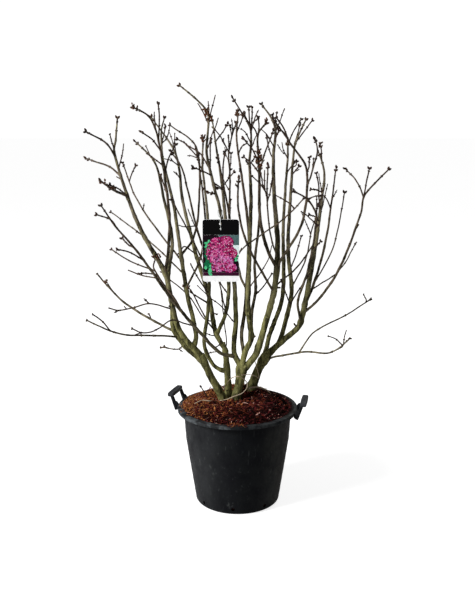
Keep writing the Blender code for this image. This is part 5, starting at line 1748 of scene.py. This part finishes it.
LABEL_MIDDLE = (LABEL_LOW + LABEL_HIGH) / 2
LABEL_FACE = LABEL_LOW.y
LABEL_HOLE_X = -0.060
LABEL_HOLE_DROP = 0.016
LABEL_HOLE_RADIUS = 0.0042
LABEL_CORNER = 0.010
CORNER_STEPS = 6
PRINT_THICK = 0.0002
PRINT_MARGIN = 0.0006
PRINT_GAP = 0.0003
HEADER_LOW = 1.0610
PICTURE_LOW = 0.9280
BAND_LOW = 0.9150
TEAL_LOW = 1.0250
LABEL_HOLE_SIDES = 24
WELD = 0.000005
# Slanted edges between the dark ground, the teal and the pale corner,
# as distances from the right edge of the print and heights
NIGHT_EDGE = [(0.0, 0.960), (0.020, 1.000)]
NIGHT_TOP = 0.075
TEAL_EDGE = (0.0745, 0.0400)
PALE_TOP = 0.0395
PALE_EDGE = [(0.0195, 1.0005), (0.0, 0.9605)]
# Two close colours of each ink
INKS = {
    "header": ((0.0006, 0.0006, 0.0008), (0.0014, 0.0012, 0.0016)),
    "teal": ((0.028, 0.075, 0.075), (0.090, 0.150, 0.150)),
    "night": ((0.0010, 0.0006, 0.0012), (0.010, 0.003, 0.008)),
    "pale": ((0.480, 0.620, 0.620), (0.700, 0.760, 0.760)),
    "band": ((0.012, 0.001, 0.008), (0.055, 0.006, 0.028)),
    "magenta": ((0.480, 0.008, 0.130), (0.280, 0.004, 0.080)),
    "pink": ((0.740, 0.150, 0.360), (0.560, 0.040, 0.220)),
    "lilac": ((0.640, 0.260, 0.560), (0.460, 0.120, 0.360)),
    "purple": ((0.050, 0.002, 0.030), (0.120, 0.004, 0.060)),
    "red": ((0.340, 0.004, 0.060), (0.200, 0.002, 0.040)),
    "blush": ((0.820, 0.520, 0.700), (0.720, 0.380, 0.580)),
    "green": ((0.004, 0.160, 0.060), (0.004, 0.070, 0.030)),
    "light_green": ((0.020, 0.360, 0.130), (0.120, 0.520, 0.260)),
}
INK_LOOK = (240.0, 0.6, 0.00001, 0.06)
# Inks of the blossom, and their numbers, by which the clusters name them
BLOSSOM_INKS = ("magenta", "pink", "lilac", "purple", "red", "blush")
MAGENTA, PINK, LILAC, PURPLE, CRIMSON, BLUSH = range(6)
# Middle, half width, half height and inks of each cluster of printed blossom
BLOSSOM_CLUSTERS = [
    (-0.062, 1.000, 0.048, 0.050, (MAGENTA, MAGENTA, CRIMSON, PINK)),
    (-0.040, 1.034, 0.024, 0.022, (MAGENTA, PINK, CRIMSON, CRIMSON)),
    (-0.080, 1.024, 0.018, 0.024, (MAGENTA, PINK, MAGENTA, CRIMSON)),
    (-0.034, 0.996, 0.030, 0.024, (MAGENTA, PINK, CRIMSON, CRIMSON)),
    (-0.072, 0.988, 0.028, 0.024, (MAGENTA, PINK, PINK, LILAC)),
    (-0.050, 0.966, 0.036, 0.020, (PINK, LILAC, LILAC, MAGENTA)),
    (-0.064, 0.946, 0.028, 0.016, (LILAC, LILAC, PINK, CRIMSON)),
    (-0.030, 0.944, 0.026, 0.016, (LILAC, PINK, MAGENTA, CRIMSON)),
]
# Florets to the square metre, and the least and greatest length of their petals,
# of the dark ground, the coloured florets and the pale flecks
BLOSSOM_LAYERS = [(330000, 0.0040, 0.0055), (170000, 0.0034, 0.0050), (60000, 0.0012, 0.0022)]
CLUSTER_LIFT = 0.00012
LAYER_LIFT = 0.00004
BLOSSOM_INSET = 0.005
BLOSSOM_FOOT_INSET = 0.002
# Leaves at each side: number, distance from the edge of the print, height and heading
LEFT_LEAVES = 44
LEFT_LEAF_INSET = (0.003, 0.022)
LEFT_LEAF_Z = (PICTURE_LOW - 0.008, 1.036)
LEFT_LEAF_HEADING = (-0.6, 1.9)
LEFT_LEAF_LENGTHS = (0.010, 0.018)
LEFT_LEAF_WIDTH = 0.010
RIGHT_LEAVES = 9
RIGHT_LEAF_INSET = (0.010, 0.020)
RIGHT_LEAF_Z = (0.968, 0.992)
RIGHT_LEAF_HEADING = (-0.4, 0.9)
RIGHT_LEAF_SIZE = (0.010, 0.007)
# Leaves at the left are bright below the one height and above the other
BRIGHT_BELOW = PICTURE_LOW + 0.02
BRIGHT_ABOVE = 1.012
PETAL_RIM = ((0, 0), (0.35, -0.42), (0.78, -0.5), (1, 0), (0.78, 0.5), (0.35, 0.42))
PETAL_ARCH = 0.00014
PETAL_TOP_SHARE = 0.55
PETAL_BACK = PRINT_THICK * 0.8
FLORET_PETAL_WIDTH = 0.8
TIE_LENGTH = 0.030
TIE_HALF_WIDTH = 0.0012
TIE_HALF_THICK = 0.0007
TIE_SIDES = 8
# Tail of the tie below the hole: how far down, and its half width there
TIE_TAIL = [(0.0, 0.0006), (0.006, 0.0004), (0.013, 0.0004), (0.014, 0.0022), (0.021, 0.0020)]
TIE_TAIL_THICK = 0.0006
TIE_TAIL_ASIDE = 0.001
TIE_CAP = 0.3
TIE_STEP = 0.0015
# Room round the bough as a share of its radius and a further part, and before and behind the label
TIE_ROOM = (1.12, 0.0004)
TIE_OFF_LABEL = 0.0010
# Heights of the straight part above the hole and below and above the label's top edge
TIE_ABOVE_HOLE = 0.0015
TIE_AT_EDGE = 0.004
# Crossing below the bough, as shares of the loop's radius: aside, forward and down
TIE_CROSSING = (0.9, 0.9, 2.2)
TIE_LOOP_DEGREES = (190, -10)
TIE_LOOP_KNOTS = 9


def plate(name, outlines, y_middle, thickness, mat, replaced=()):
    """Flat plate in an upright plane, from an outline and any holes in it as (x, z) points."""
    curve = bpy.data.curves.new(name, "CURVE")
    curve.dimensions = "2D"
    curve.fill_mode = "BOTH"
    curve.extrude = thickness / 2
    for outline in outlines:
        spline = curve.splines.new("POLY")
        spline.points.add(len(outline) - 1)
        for knot, (x, z) in zip(spline.points, outline):
            knot.co = (x, z, 0.0, 1.0)
        spline.use_cyclic_u = True
    made = new_object(name, curve)
    mesh = evaluated_mesh(made)
    bpy.data.objects.remove(made)
    mesh.transform(Matrix.Translation((0, y_middle, 0)) @ Matrix.Rotation(math.pi / 2, 4, "X"))
    shape = bmesh.new()
    shape.from_mesh(mesh)
    bmesh.ops.remove_doubles(shape, verts=shape.verts, dist=WELD)
    bmesh.ops.recalc_face_normals(shape, faces=shape.faces)
    shape.to_mesh(mesh)
    shape.free()
    mesh.materials.clear()
    mesh.materials.append(mat)
    adopt(new_object(name, mesh), replaced)


def rounded(x_low, x_high, z_low, z_high, corner):
    """Outline of a rectangle with round corners."""
    outline = []
    for k, (x, z) in enumerate([(x_high - corner, z_high - corner), (x_low + corner, z_high - corner),
                                (x_low + corner, z_low + corner), (x_high - corner, z_low + corner)]):
        outline += arc(x, z, corner, 90 * k, 90 * k + 90, CORNER_STEPS)
    return outline


def petal_shape(x, z, angle, length, width, lift=0.0):
    """Thin raised petal printed on the label."""
    along = Vector((math.cos(angle), 0, math.sin(angle)))
    across = Vector((-along.z, 0, along.x))
    start = Vector((x, LABEL_FACE - PRINT_THICK - lift, z))
    rim = [start + along * length * a + across * width * b for a, b in PETAL_RIM]
    middle = start + along * length * PETAL_TOP_SHARE
    top = middle + Vector((0, -PETAL_ARCH, 0))
    back = middle + Vector((0, PETAL_BACK, 0))
    points = np.array([tuple(p) for p in rim + [top, back]])
    faces = [((k + 1) % 6, k, 6) for k in range(6)] + [(k, (k + 1) % 6, 7) for k in range(6)]
    return points, faces


def add_blossom(heap, x, z, size, kind, lift):
    """Small flower of four petals."""
    turn = rng.uniform(0, math.pi / 2)
    for k in range(4):
        heap.add(petal_shape(x, z, turn + k * math.pi / 2, size, size * FLORET_PETAL_WIDTH, lift), kind)


def print_areas(left, right, top, hole):
    """Outline of each plain area of print, and the hole in the topmost."""
    header_foot = HEADER_LOW - PRINT_GAP
    picture_foot = PICTURE_LOW - PRINT_GAP
    teal_foot = TEAL_LOW - PRINT_GAP
    return {
        "header": [top + [(left, HEADER_LOW), (right, HEADER_LOW)], hole],
        "night": [[(left, header_foot), (left, PICTURE_LOW), (right, PICTURE_LOW),
                   *((right - inset, z) for inset, z in NIGHT_EDGE), (right - NIGHT_TOP, header_foot)]],
        "teal": [[(right - TEAL_EDGE[0], header_foot), (right - TEAL_EDGE[1], TEAL_LOW),
                  (right, TEAL_LOW), (right, header_foot)]],
        "pale": [[(right - PALE_TOP, teal_foot), *((right - inset, z) for inset, z in PALE_EDGE),
                  (right, teal_foot)]],
        "band": [[(left, picture_foot), (left, BAND_LOW), (right, BAND_LOW), (right, picture_foot)]],
    }


def make_leaves(left, right, mats):
    """Printed leaves along both sides of the picture."""
    leaves = Heap()
    for _ in range(LEFT_LEAVES):
        x, z = left + rng.uniform(*LEFT_LEAF_INSET), rng.uniform(*LEFT_LEAF_Z)
        heading, length = rng.uniform(*LEFT_LEAF_HEADING), rng.uniform(*LEFT_LEAF_LENGTHS)
        bright = z < BRIGHT_BELOW or z > BRIGHT_ABOVE
        leaves.add(petal_shape(x, z, heading, length, LEFT_LEAF_WIDTH), 1 if bright else 0)
    for _ in range(RIGHT_LEAVES):
        x, z = right - rng.uniform(*RIGHT_LEAF_INSET), rng.uniform(*RIGHT_LEAF_Z)
        heading = rng.uniform(*RIGHT_LEAF_HEADING)
        leaves.add(petal_shape(x, z, heading, *RIGHT_LEAF_SIZE), rng.choice((0, 1)))
    make_piece("print_leaves", leaves, mats, smooth=False)


def make_blossom(left, right, mats):
    """Printed blossom in clusters, each in three layers."""
    blossom = Heap()
    for number, (middle_x, middle_z, wide, tall, kinds) in enumerate(BLOSSOM_CLUSTERS):
        for layer, (share, small, large) in enumerate(BLOSSOM_LAYERS):
            for _ in range(int(wide * tall * share)):
                distance, angle = math.sqrt(rng.random()), rng.uniform(0, math.tau)
                x = middle_x + wide * distance * math.cos(angle)
                x = min(max(x, left + BLOSSOM_INSET), right - BLOSSOM_INSET)
                z = middle_z + tall * distance * math.sin(angle)
                z = min(max(z, PICTURE_LOW + BLOSSOM_FOOT_INSET), HEADER_LOW - BLOSSOM_INSET)
                kind = (PURPLE, rng.choice(kinds), BLUSH)[layer]
                lift = CLUSTER_LIFT * number + LAYER_LIFT * layer
                add_blossom(blossom, x, z, rng.uniform(small, large), kind, lift)
    make_piece("print_blossom", blossom, mats, smooth=False)


def make_label(card):
    """Card with a plain printed design of blossom and leaves, and no lettering."""
    x_low, x_high = LABEL_LOW.x, LABEL_HIGH.x
    z_low, z_high = LABEL_LOW.z, LABEL_HIGH.z
    last_angle = 360 - 360 / LABEL_HOLE_SIDES
    hole = arc(LABEL_HOLE_X, z_high - LABEL_HOLE_DROP, LABEL_HOLE_RADIUS, 0, last_angle, LABEL_HOLE_SIDES - 1)
    plate("label_card", [rounded(x_low, x_high, z_low, z_high, LABEL_CORNER), hole], LABEL_MIDDLE.y,
          LABEL_HIGH.y - LABEL_LOW.y, card, ["label"])
    ink = {name: plain_material("print_" + name, *pair, *INK_LOOK) for name, pair in INKS.items()}
    left, right = x_low + PRINT_MARGIN, x_high - PRINT_MARGIN
    # Only the two upper corners of the print are round
    top = rounded(left, right, z_low, z_high - PRINT_MARGIN, LABEL_CORNER)[:2 * (CORNER_STEPS + 1)]
    for name, outlines in print_areas(left, right, top, hole).items():
        plate("print_" + name, outlines, LABEL_FACE - PRINT_THICK / 2, PRINT_THICK, ink[name])
    make_leaves(left, right, [ink["green"], ink["light_green"]])
    make_blossom(left, right, [ink[name] for name in BLOSSOM_INKS])


def make_tie(bough, mat):
    """Flat strap through the label's hole and round the bough above it."""
    hole_z = LABEL_HIGH.z - LABEL_HOLE_DROP
    ring = int(np.argmin(np.abs(bough.points[:, 2] - (LABEL_HIGH.z + TIE_LENGTH))))
    hold = Vector(bough.points[ring])
    reach = bough.radii[ring] * TIE_ROOM[0] + TIE_HALF_THICK + TIE_ROOM[1]
    off = TIE_OFF_LABEL + TIE_HALF_THICK
    front, back = LABEL_MIDDLE.y - off, LABEL_MIDDLE.y + off
    heights = [hole_z + TIE_ABOVE_HOLE, LABEL_HIGH.z - TIE_AT_EDGE, LABEL_HIGH.z + TIE_AT_EDGE]
    aside, forward, down = (share * reach for share in TIE_CROSSING)
    path = [Vector((LABEL_HOLE_X, front, z)) for z in heights]
    path.append(hold + Vector((-aside, -forward, -down)))
    path += [hold + Vector((reach * math.cos(a), reach * math.sin(a), 0))
             for a in np.linspace(*np.radians(TIE_LOOP_DEGREES), TIE_LOOP_KNOTS)]
    path.append(hold + Vector((aside, -forward, -down)))
    path += [Vector((LABEL_HOLE_X, back, z)) for z in reversed(heights)]
    points = smooth_path(path, TIE_STEP)
    radii = np.tile(squarish(TIE_SIDES, TIE_HALF_WIDTH, TIE_HALF_THICK), (len(points), 1))
    heap = Heap()
    heap.add(tube_shape(points, radii, TIE_SIDES, TIE_CAP, frames_along(points, (1, 0, 0))))
    tail_x = LABEL_HOLE_X + TIE_TAIL_ASIDE
    tail = np.array([Vector((tail_x, front, hole_z - drop)) for drop, _ in TIE_TAIL])
    radii = np.array([squarish(TIE_SIDES, width, TIE_TAIL_THICK) for _, width in TIE_TAIL])
    heap.add(tube_shape(tail, radii, TIE_SIDES, TIE_CAP, frames_along(tail, (1, 0, 0))))
    make_piece("tie_strap", heap, [mat], ["label_tie"])


# Stage, light and camera

FLOOR_REACH = 40.0
FLOOR_GLOW_NEAR = 0.80
FLOOR_GLOW_FAR = 0.90
FLOOR_GLOW_CAST = 0.30
FLOOR_GLOW_RISE = (0.4, 3.5)
WORLD_LIGHT = 0.155
WORLD_SEEN = 1.05
# Lamps: name, place, the point each is aimed at, size and power
LAMPS = [
    ("key", (-3.4, -2.0, 2.8), (0, 0, 0.8), 1.5, 300),
    ("fill", (2.8, -2.6, 1.6), (0, 0, 0.7), 2.2, 6),
    ("back", (1.6, 2.8, 3.0), (0, 0, 0.9), 2.0, 36),
]


def seen_by_camera(tree, cast, seen_as):
    """Strength of light that differs between what it casts and what the camera sees."""
    return ramp(tree, add_node(tree, "LightPath").outputs["Is Camera Ray"], 0.0, 1.0, cast, seen_as)


def floor_material():
    """Pale floor that glows, more so far from the plant, to meet the white backdrop unseen."""
    made, tree, shader = start_material("pale_floor", *FLOOR_FINISH)
    far = length_of(tree, place_node(tree))
    glow = times(tree, ramp(tree, far, *FLOOR_GLOW_RISE, FLOOR_GLOW_NEAR, FLOOR_GLOW_FAR),
                 seen_by_camera(tree, FLOOR_GLOW_CAST, 1.0))
    colour = grey(tree, strength(tree, FLOOR_TONE))
    feed(tree, shader, {"Base Color": colour, "Emission Color": WHITE, "Emission Strength": glow})
    return made


def make_floor():
    """Plain pale floor."""
    mesh = bpy.data.meshes.new("floor")
    corners = [(x * FLOOR_REACH, y * FLOOR_REACH, 0) for x, y in ((-1, -1), (1, -1), (1, 1), (-1, 1))]
    mesh.from_pydata(corners, [], [(0, 1, 2, 3)])
    mesh.materials.append(floor_material())
    floor = new_object("floor", mesh)


def make_world():
    """White backdrop that lights the plant more weakly than it looks."""
    world = bpy.data.worlds.new("studio")
    bpy.context.scene.world = world
    world.use_nodes = True
    tree = world.node_tree
    light = seen_by_camera(tree, WORLD_LIGHT, WORLD_SEEN)
    feed(tree, tree.nodes["Background"], {"Color": WHITE, "Strength": light})


def add_lamp(name, place, target, size, power):
    """Square lamp aimed at a point."""
    light = bpy.data.lights.new(name, "AREA")
    light.size = size
    light.energy = power
    obj = new_object(name, light)
    obj.location = place
    obj.rotation_euler = (Vector(target) - Vector(place)).to_track_quat("-Z", "Y").to_euler()


def make_camera():
    """Camera that sees the plant as the picture does."""
    camera = bpy.data.cameras.new("camera")
    camera.lens = LENS
    camera.sensor_width = SENSOR
    obj = new_object("camera", camera)
    obj.location = (0, -EYE_DISTANCE, EYE_HEIGHT)
    obj.rotation_euler = (EYE_PITCH, 0, 0)
    bpy.context.scene.camera = obj


def make_studio():
    """Floor, backdrop, lamps and camera."""
    make_floor()
    make_world()
    for lamp in LAMPS:
        add_lamp(*lamp)
    bpy.context.scene.view_settings.view_transform = "Standard"
    make_camera()


def main():
    """Whole picture, the plant first and then the studio."""
    materials = make_materials()
    woods, feet = grow_limbs()
    limbs = list(woods.values())
    twigs = grow_traced_twigs(woods)
    grown = grow_by_rule(woods)
    make_limbs(woods, feet, materials)
    make_twigs(twigs, "twigs_traced", materials["twig"])
    make_twigs(grown, "twigs_grown", materials["twig"])
    make_stubs(woods, materials["brown_bark"])
    make_buds(limbs, twigs, grown, materials["buds"])
    make_panicles(limbs + twigs, materials["capsules"])
    make_strands(materials["strand"])
    make_stray_twig([materials["twig"], materials["buds"][DARK]])
    make_bed(materials["bed"])
    make_shreds(materials["shreds"])
    make_crumbs(materials["shreds"])
    make_pot(materials["pot"])
    for name, angle in HANDLE_ANGLES.items():
        make_handle(name, angle, materials["handle"])
    make_label(materials["card"])
    make_tie(woods["label_bough"], materials["tie"])
    make_studio()


main()
